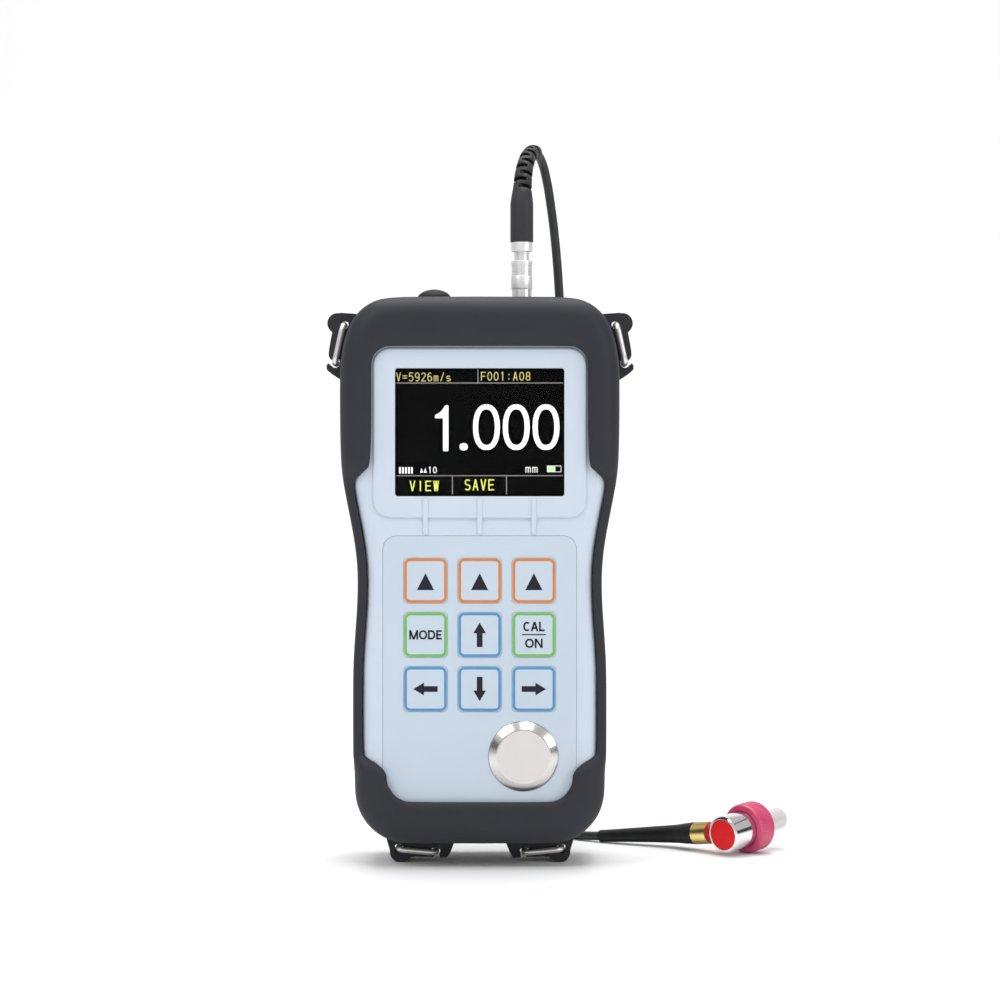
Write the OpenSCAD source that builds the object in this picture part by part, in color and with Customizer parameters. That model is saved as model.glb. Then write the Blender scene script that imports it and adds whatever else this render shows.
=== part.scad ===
// Ultrasonic thickness gauge in a rubber boot, with a delay-line probe on a coaxial lead.
// Millimetres. X to the right, Y to the back, Z up; the origin is under the right-hand foot.

/* [Boot] */
// Half width of the boot round the screen
head_half = 41.6; // [40:0.1:45]
// Half width of the boot at the waist
waist_half = 36.2; // [35:0.1:39]
// Half width of the boot along the grip
grip_half = 37.65; // [36:0.05:40]
// Half width of the boot above its lower corners
heel_half = 37.2; // [36:0.1:39]
// Height of the boot's underside above the floor
base_z = 7; // [6:0.1:8]
// Height of the boot's top above the floor
top_z = 169.5; // [166:0.5:176]
// Radius of the boot's upper corners in the front view
head_r = 17; // [15.5:0.5:19]
// Radius of the boot's lower corners in the front view
heel_r = 16; // [14:0.5:18]
// Thickness of the boot's wall round the case
boot_wall = 3.5; // [3:0.1:4.2]
// How far the front bumpers stand out from the case's face
bumper_rise = 2.9; // [2:0.1:4]
// Rounding of the bumpers' outer front edge
bumper_r = 6.5; // [4:0.1:7.5]
// How far the side rails stand back from the case's face
rail_setback = 0.8; // [0.4:0.1:1.1]
// Half width of the front opening round the screen
open_head_half = 32; // [31.8:0.1:33]
// Height of the top of the front opening
open_top = 154.5; // [154.3:0.1:156]
// Half width of the front opening at the lower bumper
open_heel_half = 27.3; // [25:0.1:29]
// Height of the bottom of the front opening
open_base = 19.8; // [17:0.1:22]
// Width of the boot's rim on the back
back_rim = 8.5; // [8:0.1:10]

/* [Case] */
// Depth of the case from its face to its back
case_depth = 36.2; // [35:0.1:38]
// Rounding of the case's edges
case_r = 4; // [3.5:0.1:5]
// Wall thickness of the case
case_wall = 2.5; // [2:0.1:3]
// Thickness of the seal between the case halves
gasket = 1; // [0.8:0.1:1.5]
// Height that the screen surround stands out from the face
pad_rise = 0.8; // [0.5:0.1:1.2]
// Half width of the screen surround
pad_half = 31.6; // [30.4:0.1:31.7]
// Height of the lower edge of the screen surround
pad_base = 103.7; // [102:0.1:106]
// Width of each guide rib between the screen and the keys
rib_width = 1.6; // [1.2:0.1:2]
// Height that the guide ribs stand out
rib_rise = 0.45; // [0.3:0.05:0.6]

/* [Display] */
// Width of the window over the display
window_width = 49.8; // [48.5:0.1:51]
// Height of the window over the display
window_height = 37.6; // [36.5:0.1:39]
// Height of the window's centre
window_z = 129; // [127:0.1:131]
// Thickness of the window
window_thick = 2.2; // [1.8:0.1:2.4]

/* [Keys] */
// Distance between key centres
key_pitch = 16; // [15.8:0.1:16.5]
// Height of the middle row of keys
key_row_z = 69.2; // [68:0.1:70]
// Width of a key
key_width = 12.7; // [12:0.1:13.2]
// Height of a key
key_height = 13.1; // [12.5:0.1:13.5]
// How far a key stands out from the panel
key_rise = 0.3; // [0.2:0.05:0.5]
// How far a key goes in
key_travel = 0.4; // [0.3:0.05:0.5]
// Half width of the keypad film
film_half = 28.6; // [28:0.1:29.2]
// Height of the top edge of the keypad film
film_top = 98.4; // [98:0.1:99]
// Thickness of the keypad film
film_thick = 0.5; // [0.4:0.05:0.6]

/* [Battery door] */
// Width of the battery door
door_w = 54; // [50:0.5:56]
// Height of the battery door
door_h = 56; // [54:0.5:58]
// Height of the battery door's centre
door_z = 54.5; // [53:0.5:58]
// Diameter of a cell
cell_d = 14.2; // [13.8:0.1:14.5]
// Length of a cell
cell_long = 50; // [49:0.1:51]

/* [Zero disc] */
// Diameter of the zero disc
disc_d = 20.6; // [19:0.1:21.5]
// Diameter of the flat on the zero disc
disc_flat_d = 16; // [15:0.1:17]
// Height that the zero disc stands out from the panel
disc_rise = 1.6; // [1.2:0.1:2.2]
// Sideways place of the zero disc
disc_x = 12.9; // [12:0.1:14]
// Height of the zero disc's centre
disc_z = 33.3; // [32.5:0.1:34]

/* [Ports and plug] */
// Sideways place of the probe socket
plug_x = 12.6; // [12:0.1:14]
// Diameter of the plug's release sleeve
sleeve_d = 6.6; // [6.2:0.1:7]
// Diameter of the plug's core
core_d = 4.6; // [4.2:0.1:5]
// How far the release sleeve pulls back
sleeve_travel = 2; // [1.5:0.1:2.2]
// Sideways place of the capped port, to the left of the middle
cap_x = 13.9; // [13:0.1:15]
// Diameter of the port cap
cap_d = 10.6; // [10:0.1:11.2]
// Height that the port cap stands out above the boot
cap_rise = 3.2; // [2.5:0.1:4]

/* [Strap rings] */
// Thickness of the wire of the strap rings
wire_d = 1.9; // [1.7:0.1:2]
// Thickness of the ears from front to back
ear_depth = 8; // [7:0.1:8.4]
// Radius of the holes that the rings pass through
eye_r = 1.5; // [1.45:0.05:1.6]
// How far each ring reaches behind its ear's middle
ring_reach = 10; // [9:0.1:12]

/* [Cable] */
// Diameter of the probe cable
cable_d = 2.8; // [2.6:0.1:3]
// Mean radius of the coiled cable
coil_r = 16.8; // [16:0.1:18]
// Radius of the bundle of turns in the coil
bundle_r = 4.65; // [4.2:0.05:5]

/* [Probe] */
// Diameter of the probe's body
probe_d = 11.3; // [10.8:0.1:12]
// Bare length of the probe's body behind the ring
probe_bare = 10; // [9.5:0.1:11]
// Diameter of the knurled ring
knurl_d = 15.2; // [14.5:0.1:16]
// Length of the knurled ring
knurl_long = 6.2; // [5.5:0.1:7]
// Diameter of the delay tip
tip_d = 6.7; // [6:0.1:7.2]
// Length of the delay tip in front of the ring
tip_long = 12; // [11:0.1:13]
// Diameter of the side connector
conn_d = 6.9; // [6.5:0.1:7.2]
// Length of the side connector
conn_long = 6.2; // [5.8:0.1:7]
// Turn of the probe on the floor
probe_yaw = 46; // [44:1:48]
// Lift of the probe's nose
probe_lift = 5; // [4:0.5:6]

/* [Clearances] */
// Gap between the case and the boot
boot_fit = 0.05; // [0.02:0.01:0.1]
// Gap round the keys
key_fit = 0.15; // [0.1:0.05:0.25]
// Gap round plates that are set into recesses
set_fit = 0.1; // [0.05:0.05:0.15]
// Radial gap of turning and sliding fits
run_fit = 0.08; // [0.05:0.01:0.1]
// Room between moving pieces and what they stand beside
room = 0.3; // [0.2:0.05:0.4]

/* [Hidden] */
$fn = 48;
face_y = -case_depth / 2 + 0.4;
back_y = face_y + case_depth;
case_in = boot_wall + boot_fit;
inside_in = case_in + case_wall;
plate_y = face_y + case_wall;
head_top = top_z - head_r;
heel_top = base_z + heel_r;
tall = top_z - base_z;
shoulder_z = base_z + 0.736 * tall;
waist_z = base_z + 0.4785 * tall;
grip_z = base_z + 0.3 * tall;
ramp_up = [open_top - 41.2, open_top - 34.5];
ramp_low = [open_base + 8.4, open_base + 13.6];
open_top_r = 5.6;
open_heel_r = 7.2;
arc_n = 8;
rail_lip = 0.25;
seat_r = case_r - 0.6;
lip_front = face_y - bumper_rise;
rail_front = face_y + rail_setback;
boot_back = back_y + 2.1;
back_r = 6;
foot_x = 23.8;
foot_r = 3.4;
window_step = 2.2;
dome_y = plate_y + 0.25;
board_y = plate_y + 6.7;
board_z = [heel_top + 6, head_top - 6];
module_y = plate_y + 2.8;
door_t = 1.4;
door_screw_z = [door_z - door_h / 2 + 2.6, door_z + door_h / 2 - 2.6];
case_top = top_z - case_in;
socket_top = case_top + 1.5;
sleeve_z = [socket_top + 0.3, top_z + 11.8];
nut_z = [sleeve_z[1] + sleeve_travel + 0.6, sleeve_z[1] + sleeve_travel + 3.8];
relief_z = nut_z[1];
probe_at = [74, 6.3, knurl_d / 2 * cos(probe_lift) - (probe_bare + 0.3) * sin(probe_lift)];
flange_at = probe_bare + knurl_long - 2.1;
conn_s = 5;
conn_drop = 7;
washer_long = 3;
lead_in = probe_d / 2 + washer_long + conn_long;
tie_t = 0.7;
coil_z = bundle_r + tie_t + 0.05;
coil_at = [0, 85, coil_z];
wire_r = wire_d / 2;
bar_y = ear_depth / 2 + wire_r + room;
ring_swing = 6;

// Smooth step from 0 to 1
function ease(t) = (1 - cos(180 * max(0, min(1, t)))) / 2;
function blend(z, z0, z1, a, b) = a + (b - a) * ease((z - z0) / (z1 - z0));
function span(a, b, n) = [for (i = [1:n]) a + (b - a) * i / n];
function back_to_front(list) = [for (i = [len(list) - 1:-1:0]) list[i]];
function other_side(list) = [for (p = back_to_front(list)) [-p[0], p[1]]];

// Half width of the boot at a height
function half_width(z) = z > waist_z ? blend(z, waist_z, shoulder_z, waist_half, head_half)
  : z > grip_z ? blend(z, grip_z, waist_z, grip_half, waist_half)
  : blend(z, heel_top + 2, heel_top + 13, heel_half, grip_half);

// Heights of the stations up one side, close together where the bumpers end
side_z = concat(span(heel_top, ramp_low[0], 2), span(ramp_low[0], ramp_low[1], 4),
  span(ramp_low[1], waist_z, 8), span(waist_z, ramp_up[0], 6), span(ramp_up[0], ramp_up[1], 5),
  span(ramp_up[1], head_top - 9, 3));
function arc(c, r, a0, a1) = [for (i = [0:arc_n])
  let(a = a0 + (a1 - a0) * i / arc_n) c + r * [cos(a), sin(a)]];

// An upper corner: it leans in from the side and tightens towards the top
corner = [[head_half, head_top - 6], [head_half - 0.6, head_top + 5.3], [head_half - 3.1, top_z],
  [head_half - head_r, top_z]];
function corner_point(t) = pow(1 - t, 3) * corner[0] + 3 * t * pow(1 - t, 2) * corner[1]
  + 3 * t * t * (1 - t) * corner[2] + pow(t, 3) * corner[3];
function corner_way(t) = pow(1 - t, 2) * (corner[1] - corner[0])
  + 2 * t * (1 - t) * (corner[2] - corner[1]) + t * t * (corner[3] - corner[2]);
function corner_line(d) = [for (i = [0:arc_n]) let(t = i / arc_n, w = corner_way(t))
  corner_point(t) - d * [w[1], -w[0]] / norm(w)];

// Front view of the boot, set in by d
function side_line(d) = concat(
  arc([heel_half - heel_r, heel_top], heel_r - d, -90, 0),
  [for (z = side_z) [half_width(z) - d, z]],
  corner_line(d));
function outline(d) = concat(side_line(d), other_side(side_line(d)));

// Front opening, with one point for each point of the outline
function open_x(z) = z > waist_z
  ? blend(z, ramp_up[0], ramp_up[1], half_width(z) - boot_wall - rail_lip, open_head_half)
  : blend(z, ramp_low[0], ramp_low[1], open_heel_half, half_width(z) - boot_wall - rail_lip);
function stretch(z, a, b, c) = a + (z - a) * (c - a) / (b - a);
function open_z(z) = z > ramp_up[1] ? stretch(z, ramp_up[1], head_top, open_top - open_top_r)
  : z < ramp_low[0] ? stretch(z, ramp_low[0], heel_top, open_base + open_heel_r) : z;
open_line = concat(
  arc([open_heel_half - open_heel_r, open_base + open_heel_r], open_heel_r, -90, 0),
  [for (z = side_z) [open_x(z), open_z(z)]],
  arc([open_head_half - open_top_r, open_top - open_top_r], open_top_r, 0, 90));
open_all = concat(open_line, other_side(open_line));

// 1 where the boot has a front bumper, 0 along the side rails
function lip_at(z) = z > waist_z ? ease((z - ramp_up[0]) / (ramp_up[1] - ramp_up[0]))
  : ease((ramp_low[1] - z) / (ramp_low[1] - ramp_low[0]));
lip_line = concat([for (i = [0:arc_n]) 1], [for (z = side_z) lip_at(z)], [for (i = [0:arc_n]) 1]);
lips = concat(lip_line, back_to_front(lip_line));

// Closed section of the boot at one station: seat, front edge, outer side, back edge, back seat
function seat_y(d) = let(e = seat_r - min(d, seat_r)) sqrt(max(0, seat_r * seat_r - e * e));
function section(p, n, q, lip) =
  let(w = p + boot_wall * n, reach = norm(q - w), dir = (q - w) / reach,
    yf = rail_front + (lip_front - rail_front) * lip, r = 2.2 + (bumper_r - 2.2) * lip,
    edge = 0.4 + 0.5 * lip, yl = face_y - 0.15, yb = back_y + 0.15, qb = p + back_rim * n)
  concat(
    [for (k = [0:4]) let(d = min(seat_r * (1 - cos(22.5 * k)), reach * k / 4))
      concat(w + dir * (k == 4 ? reach : d), [yl + seat_r - seat_y(k == 4 ? reach : d)])],
    [concat(q, [yf + edge]), concat(q - dir * edge, [yf])],
    [for (a = [0, 22, 42, 60, 75, 90]) concat(p + n * r * (1 - sin(a)), [yf + r * (1 - cos(a))])],
    [for (a = [90, 72, 54, 36, 18, 0])
      concat(p + n * back_r * (1 - sin(a)), [boot_back - back_r * (1 - cos(a))])],
    [concat(qb - n * 0.6, [boot_back]), concat(qb, [boot_back - 0.6]), concat(qb, [yb])],
    [for (a = [0, 22.5, 45, 67.5, 90])
      concat(w + n * seat_r * (1 - sin(a)), [yb - seat_r * (1 - cos(a))])]);

// Skins: rows of points joined to each other, closed round both ways or capped at the ends
function spin(p) = [p[0], p[2], p[1]];
function skin_faces(m, n, wrap) = [for (i = [0:m - (wrap ? 1 : 2)]) for (j = [0:n - 1]) for (s = [0, 1])
  let(a = i * n + j, b = i * n + (j + 1) % n, c = ((i + 1) % m) * n + (j + 1) % n,
    d = ((i + 1) % m) * n + j) s == 0 ? [a, b, c] : [a, c, d]];
function cap_faces(first, n, mid, flip) = [for (j = [0:n - 1])
  let(a = first + j, b = first + (j + 1) % n) flip ? [mid, a, b] : [mid, b, a]];
module ring_skin(rows) polyhedron([for (r = rows) each r], skin_faces(len(rows), len(rows[0]), true));
module rod_skin(rows, c0, c1) {
  m = len(rows);
  n = len(rows[0]);
  polyhedron(concat([for (r = rows) each r], [c0, c1]), concat(skin_faces(m, n, false),
    cap_faces(0, n, m * n, false), cap_faces((m - 1) * n, n, m * n + 1, true)));
}

// Smooth lines through route points, and round tubes along them
function catmull(a, b, c, d, t) = 0.5 * (2 * b + (c - a) * t + (2 * a - 5 * b + 4 * c - d) * t * t
  + (3 * b - a - 3 * c + d) * t * t * t);
function smooth(r, k) = let(m = len(r) - 1) concat([for (i = [0:m - 1]) for (j = [0:k - 1])
  catmull(r[max(0, i - 1)], r[i], r[i + 1], r[min(m, i + 2)], j / k)], [r[m]]);
function unit(v) = v / norm(v);
function heading(l, i) = unit(l[min(len(l) - 1, i + 1)] - l[max(0, i - 1)]);
function hoop(c, t, up, r, n) = let(u = unit(cross(up, t)), v = cross(t, u))
  [for (j = [0:n - 1]) c + r * (cos(360 * j / n) * u - sin(360 * j / n) * v)];
module tube(line, radii, up, n) rod_skin([for (i = [0:len(line) - 1])
  hoop(line[i], heading(line, i), up, radii[i], n)], line[0], line[len(line) - 1]);
function part_of(list, a, b) = [for (i = [a:b]) list[i]];

// Route of the cable from the plug over the back to the coil
plug_route = [for (p = [[0, 0, 0.02], [0, 0, 4], [0, 0, 8], [0.1, 0.6, 15], [0.8, 4, 22.4], [2.3, 9.3, 27.5],
  [4.2, 15, 29.3], [6.2, 20.6, 27.7], [8, 24.6, 22], [9.3, 26.6, 14.6], [10.6, 27.4, 4.5],
  [12, 27.8, -13], [12.8, 28, -40], [13.2, 28, -80], [13.2, 28, -120], [13, 29, -150], [12.4, 32, -168]])
  p + [plug_x, 0, relief_z]];
turn_r = bundle_r - cable_d / 2;
floor_route = concat([[23.6, 39, 9.5], [22.6, 50, 6.6], [21.4, 61, 5.6]],
  [for (d = [[0.45, -12, 0], [0, -1, 0]]) coil_at + [coil_r + turn_r, 0, 0] + d]);
plug_line = smooth(concat(plug_route, floor_route), 4);
relief_segments = 6;
relief_rings = 4 * relief_segments;
relief_fine = 12;
slot_start = 15.6;
slot_pitch = 2.25;
slot_wide = 1.15;
slot_count = 9;
slot_floor = 0.4;

// Route of the cable from the coil to the probe
conn_root = probe_at + [conn_s * cos(probe_lift) * cos(probe_yaw),
  conn_s * cos(probe_lift) * sin(probe_yaw), conn_s * sin(probe_lift)];
conn_dir = [-sin(probe_yaw) * cos(conn_drop), cos(probe_yaw) * cos(conn_drop), -sin(conn_drop)];
lead_end = conn_root + lead_in * conn_dir;
lead_route = concat([[-3.27, 66.46, 2.86], [7, 64.4, 2.05], [16.4, 58.8, 1.55], [24, 51, 1.5], [31, 43, 1.5],
  [38, 37.6, 2], [47, 33, 2.9], [54.4, 29.6, 3.6]], [for (d = [8, 4, 0.02]) lead_end + d * conn_dir]);
lead_line = smooth(lead_route, 4);
lead_rings = 20;

// Frames: the gauge's middle plane, the probe's axis, and slabs and pegs seen from the front
module gauge() translate([-foot_x, 0, 0]) children();
module slab(y0, y1) translate([0, y1, 0]) rotate([90, 0, 0]) linear_extrude(y1 - y0) children();
module peg(x, z, y0, y1, r) translate([x, y1, z]) rotate([90, 0, 0]) cylinder(h = y1 - y0, r = r);
module post(x, z0, z1, r) translate([x, 0, z0]) cylinder(h = z1 - z0, r = r);
module on_probe() translate(probe_at) rotate([0, 0, probe_yaw]) rotate([0, 90 - probe_lift, 0]) children();
module on_connector() translate(conn_root) rotate([0, 0, probe_yaw + 90])
  rotate([0, 90 + conn_drop, 0]) children();
function plate_points(x0, z0, x1, z1, r) = [for (c = [[x1 - r, z0 + r, -90], [x1 - r, z1 - r, 0],
  [x0 + r, z1 - r, 90], [x0 + r, z0 + r, 180]]) for (i = [0:4])
  [c[0] + r * cos(c[2] + 22.5 * i), c[1] + r * sin(c[2] + 22.5 * i)]];
module plate(x, z, w, h, r) polygon(plate_points(x - w / 2, z - h / 2, x + w / 2, z + h / 2, r));

// Key places: column and row counted from the middle
function key_place(c, r) = [c * key_pitch, key_row_z + r * key_pitch];
screw_places = [for (z = [head_top + 5, heel_top - 2]) for (s = [1, -1]) [s * (waist_half - 11.7), z]];

// Ears of the boot, drawn for the right-hand side
ear_at = [head_half, head_top];
upper_eyes = [ear_at + [-0.5, 9.3], ear_at + [2, -2.2]];
lower_eyes = [[24.5, 4], [13.4, 3]];
module upper_ear() {
  difference() {
    union() {
      translate(ear_at) polygon([[-9.1, 10.4], [-5.4, 12.5], [0.6, 12.9], [3.1, 6.4], [4.1, 0.7], [4, -0.3],
        [3.5, -1], [4.1, -2.3], [4.6, -2.9], [4.6, -4.1], [4, -5], [0.2, -7.4], [-5.1, -8.6]]);
      translate(ear_at + [1.3, 9.7]) circle(3.1);
    }
    translate(upper_eyes[0]) circle(eye_r);
    translate(upper_eyes[1]) circle(eye_r);
    translate(ear_at) polygon([[2.4, -3.1], [2.6, -1.6], [3.4, -1.05], [5.4, -0.9], [5.4, -1.9],
      [4.15, -2.25], [3.4, -2.9]]);
  }
}
module lower_ear() {
  difference() {
    union() {
      polygon([[29, 10.5], [28.2, 6.8], [27.1, 3.6], [24, 1], [20.4, 1.6], [14.4, 1.6], [11.6, 1.3],
        [10.1, 1.3], [9.1, 2.2], [6.8, 8.6]]);
      translate([foot_x, 3.2]) circle(foot_r);
    }
    translate(lower_eyes[0]) circle(eye_r);
    translate(lower_eyes[1]) circle(eye_r);
    polygon([[14, 0], [13.9, 2], [12.2, 2], [12.2, 0]]);
    translate([10, -4]) square([30, 4]);
  }
}

module ears() difference() {
  slab(-ear_depth / 2, ear_depth / 2) {
    upper_ear();
    lower_ear();
  }
  slab(-ear_depth, ear_depth) polygon(outline(1.8));
}

// Room beside an ear for its ring to swing, in front of the ear and behind it
module ring_room(eyes) {
  run = eyes[1] - eyes[0];
  side = wire_r + room;
  front = side + bar_y * sin(ring_swing);
  back = side + ring_reach * sin(ring_swing);
  translate([eyes[0][0], 0, eyes[0][1]]) rotate([0, -atan2(run[1], run[0]), 0]) {
    translate([-side, -bar_y - side, -front])
      cube([norm(run) + 2 * side, bar_y + side - ear_depth / 2 - 0.1, 2 * front]);
    translate([-side, ear_depth / 2 + 0.1, -back])
      cube([norm(run) + 2 * side, ring_reach + side - ear_depth / 2, 2 * back]);
  }
}

module rubber_boot() color("#3c3d42") gauge() difference() {
  union() {
    base = outline(0);
    inner = outline(1);
    ring_skin([for (i = [0:len(base) - 1]) [for (p = back_to_front(section(base[i],
      inner[i] - base[i], open_all[i], lips[i]))) spin(p)]]);
    ears();
    mirror([1, 0, 0]) ears();
  }
  for (m = [0, 1]) mirror([m, 0, 0]) ring_room(upper_eyes);
  post(plug_x, case_top - 1, top_z + 1, 5.4);
  post(-cap_x, case_top - 1, top_z + 1, cap_d / 2 + set_fit);
}

// A case half as a solid block: rounded at its outer end, flat at the seal
module case_block(y_seal, y_end) {
  way = y_end > y_seal ? 1 : -1;
  steps = [[0, 0], [0, 1], [1, 1], [2, 1], [3, 1], [4, 1]];
  rows = [for (s = steps) let(a = 22.5 * s[0], d = case_in + case_r * (1 - cos(a)),
    y = s[1] == 0 ? y_seal : y_end - way * case_r * (1 - sin(a)))
    [for (p = outline(d)) [p[0], y, p[1]]]];
  rod_skin(way < 0 ? back_to_front(rows) : rows, way < 0 ? [0, y_end, 86] : [0, y_seal, 86],
    way < 0 ? [0, y_seal, 86] : [0, y_end, 86]);
}
module port_bores(r) {
  post(plug_x, case_top - 6, case_top + 1, r);
  post(-cap_x, case_top - 6, case_top + 1, r);
}

module front_case() color("#d0dce8") gauge() difference() {
  union() {
    difference() {
      case_block(-gasket / 2, face_y);
      slab(plate_y, 2) polygon(outline(inside_in));
    }
    slab(face_y - pad_rise, plate_y - 0.5)
      polygon(plate_points(-pad_half, pad_base, pad_half, open_top - 0.5, open_top_r - 0.5));
    for (c = [-1:1]) translate([c * key_pitch - rib_width / 2, 0, 0]) rotate([90, 0, 90])
      linear_extrude(rib_width) polygon([[plate_y - 0.5, 98.8], [face_y - rib_rise, 98.8],
        [face_y - rib_rise, pad_base - 2], [face_y - pad_rise - rib_rise, pad_base + 0.4],
        [face_y - pad_rise - rib_rise, window_z - window_height / 2 - 0.6], [plate_y - 0.5, 109.6]]);
    for (p = screw_places) peg(p[0], p[1], plate_y - 0.3, -gasket / 2, 3.4);
  }
  slab(face_y - 2, plate_y + 1)
    plate(0, window_z, window_width + 2 * set_fit, window_height + 2 * set_fit, 0.8);
  slab(face_y - pad_rise + 1.2, plate_y + 1)
    plate(0, window_z, window_width + 2 * window_step + 0.2, window_height + 2 * window_step + 0.2, 1);
  slab(face_y - 1, face_y + film_thick + 0.05)
    polygon(plate_points(-film_half - set_fit, 16.9, film_half + set_fit, film_top + set_fit, 4));
  for (c = [-1:1]) for (r = [-1:1]) slab(face_y, plate_y + 1)
    plate(key_place(c, r)[0], key_place(c, r)[1], key_width + 2 * key_fit, key_height + 2 * key_fit, 1.4);
  peg(disc_x, disc_z, face_y - 1, plate_y + 1, 4.1);
  for (p = screw_places) peg(p[0], p[1], plate_y + 1.5, 2, 1.25);
  port_bores(4.1);
}

module rear_case() color("#cbd8e5") gauge() difference() {
  union() {
    difference() {
      case_block(gasket / 2, back_y);
      slab(-2, back_y - case_wall) polygon(outline(inside_in));
    }
    for (p = screw_places) peg(p[0], p[1], gasket / 2, back_y - case_wall + 0.3, 3.4);
  }
  slab(back_y - door_t - 0.1, back_y + 1)
    plate(0, door_z, door_w + 2 * set_fit, door_h + 2 * set_fit, 3 + set_fit);
  slab(back_y - case_wall - 1, back_y + 1) plate(0, door_z, door_w - 6, door_h - 11, 2);
  for (z = door_screw_z) peg(0, z, back_y - case_wall - 1, back_y + 1, 1.3);
  for (p = screw_places) peg(p[0], p[1], back_y - 2.2, back_y + 1, 2.8);
  for (p = screw_places) peg(p[0], p[1], -1, back_y + 1, 1.6);
  port_bores(4.1);
}

module case_gasket() color("#1d1f22") gauge() difference() {
  slab(-gasket / 2, gasket / 2) polygon(outline(case_in + 0.1));
  slab(-2, 2) polygon(outline(inside_in - 0.1));
  port_bores(4.1);
}

module case_screws() color("#b9bcc0") gauge() for (p = screw_places) {
  difference() {
    peg(p[0], p[1], back_y - 2.2, back_y - 0.2, 2.6);
    slab(back_y - 1.2, back_y + 1) translate(p) square([3.6, 0.7], center = true);
    slab(back_y - 1.2, back_y + 1) translate(p) square([0.7, 3.6], center = true);
  }
  peg(p[0], p[1], plate_y + 6.2, back_y - 2.2, 1.25);
}

module display_window() color("#101418") gauge() {
  slab(face_y - pad_rise + 0.05, face_y - pad_rise + 1.25)
    plate(0, window_z, window_width, window_height, 0.7);
  slab(face_y - pad_rise + 1.2, face_y - pad_rise + window_thick)
    plate(0, window_z, window_width + 2 * window_step, window_height + 2 * window_step, 0.9);
}

module display_module() color("#20242a") gauge() {
  slab(face_y - pad_rise + window_thick, module_y)
    plate(0, window_z, window_width + 1.5 * window_step, window_height + 1.5 * window_step, 0.6);
  slab(module_y, board_y) plate(0, window_z, window_width * 0.8, window_height * 0.8, 1);
}

module keypad_film() color("#d3dfea") gauge() difference() {
  slab(face_y, face_y + film_thick) polygon(plate_points(-film_half, 17, film_half, film_top, 3.9));
  for (c = [-1:1]) for (r = [-1:1]) slab(face_y - 1, face_y + 2)
    plate(key_place(c, r)[0], key_place(c, r)[1], key_width + 2 * key_fit, key_height + 2 * key_fit, 1.4);
  peg(disc_x, disc_z, face_y - 1, face_y + 2, disc_d / 2 + set_fit);
}

module key(c, r) gauge() slab(face_y - key_rise, plate_y - 0.2)
  plate(key_place(c, r)[0], key_place(c, r)[1], key_width, key_height, 1.3);
module key_soft_left() color("#e9a96a") key(-1, 1);
module key_soft_middle() color("#e9a96a") key(0, 1);
module key_soft_right() color("#e9a96a") key(1, 1);
module key_mode() color("#7fb08a") key(-1, 0);
module key_up() color("#6f9bd0") key(0, 0);
module key_on() color("#7fb08a") key(1, 0);
module key_left() color("#6f9bd0") key(-1, -1);
module key_down() color("#6f9bd0") key(0, -1);
module key_right() color("#6f9bd0") key(1, -1);

module dome_sheet() color("#c9ccd0") gauge() {
  slab(dome_y + 0.1, dome_y + 0.7) plate(0, key_row_z, 3 * key_pitch + 3, 3 * key_pitch + 2, 1);
  for (c = [-1:1]) for (r = [-1:1]) let(k = key_place(c, r))
    translate([k[0], dome_y + 0.2, k[1]]) rotate([90, 0, 0]) cylinder(h = 0.1, r1 = 4, r2 = 2.5);
  for (s = [-1, 1]) slab(plate_y, dome_y + 0.7)
    plate(s * (1.5 * key_pitch + 0.15), key_row_z, key_pitch * 0.15, 3 * key_pitch - 2, 0.5);
}

module main_board() color("#2f6b46") gauge() {
  difference() {
    slab(board_y, board_y + 1.6) plate(0, (board_z[0] + board_z[1]) / 2,
      2 * (waist_half - inside_in) - 1.3, board_z[1] - board_z[0], 2);
    peg(disc_x, disc_z, board_y - 1, board_y + 3, 6.5);
  }
  slab(board_y + 1.6, board_y + 3.4) plate(-8, board_z[1] - 29, 14, 14, 0.3);
  slab(board_y + 1.6, board_y + 3) plate(14, board_z[1] - 35, 10, 8, 0.3);
  slab(board_y + 1.6, board_y + 4.6) plate(14, board_z[1] - 13, 16, 11, 0.5);
  slab(dome_y + 0.75, board_y) plate(0, key_row_z + 1.5 * key_pitch - 1.2, 36, 4, 0.5);
}

module battery_cells() color("#7a7f86") gauge() for (i = [-1:1])
  translate([i * (cell_d + 0.6), back_y - case_wall - room - cell_d / 2, door_z - cell_long / 2]) {
    cylinder(h = cell_long - 1, r = cell_d / 2);
    translate([0, 0, cell_long - 1.1]) cylinder(h = 1.1, r = 2.6);
  }

module battery_door() color("#c7d5e2") gauge() difference() {
  union() {
    slab(back_y - door_t, back_y) plate(0, door_z, door_w, door_h, 3);
    slab(back_y - case_wall - room / 3, back_y - door_t + 0.1)
      plate(0, door_z, door_w - 6 - 2 * set_fit, door_h - 11 - 2 * set_fit, 1.9);
  }
  for (z = door_screw_z) peg(0, z, back_y - case_wall - 1, back_y + 1, 1.4);
  for (z = door_screw_z) peg(0, z, back_y - 0.7, back_y + 1, 2.3);
  for (i = [-2:2]) slab(back_y - 0.5, back_y + 1) plate(0, door_z + 11 + i * 2.4, 20, 1, 0.4);
}

module door_screws() color("#b9bcc0") gauge() for (z = door_screw_z) {
  difference() {
    peg(0, z, back_y - 0.7, back_y - 0.05, 2.2);
    slab(back_y - 0.45, back_y + 1) translate([0, z]) square([3.2, 0.6], center = true);
  }
  peg(0, z, back_y - case_wall, back_y - 0.6, 1.3);
}

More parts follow.
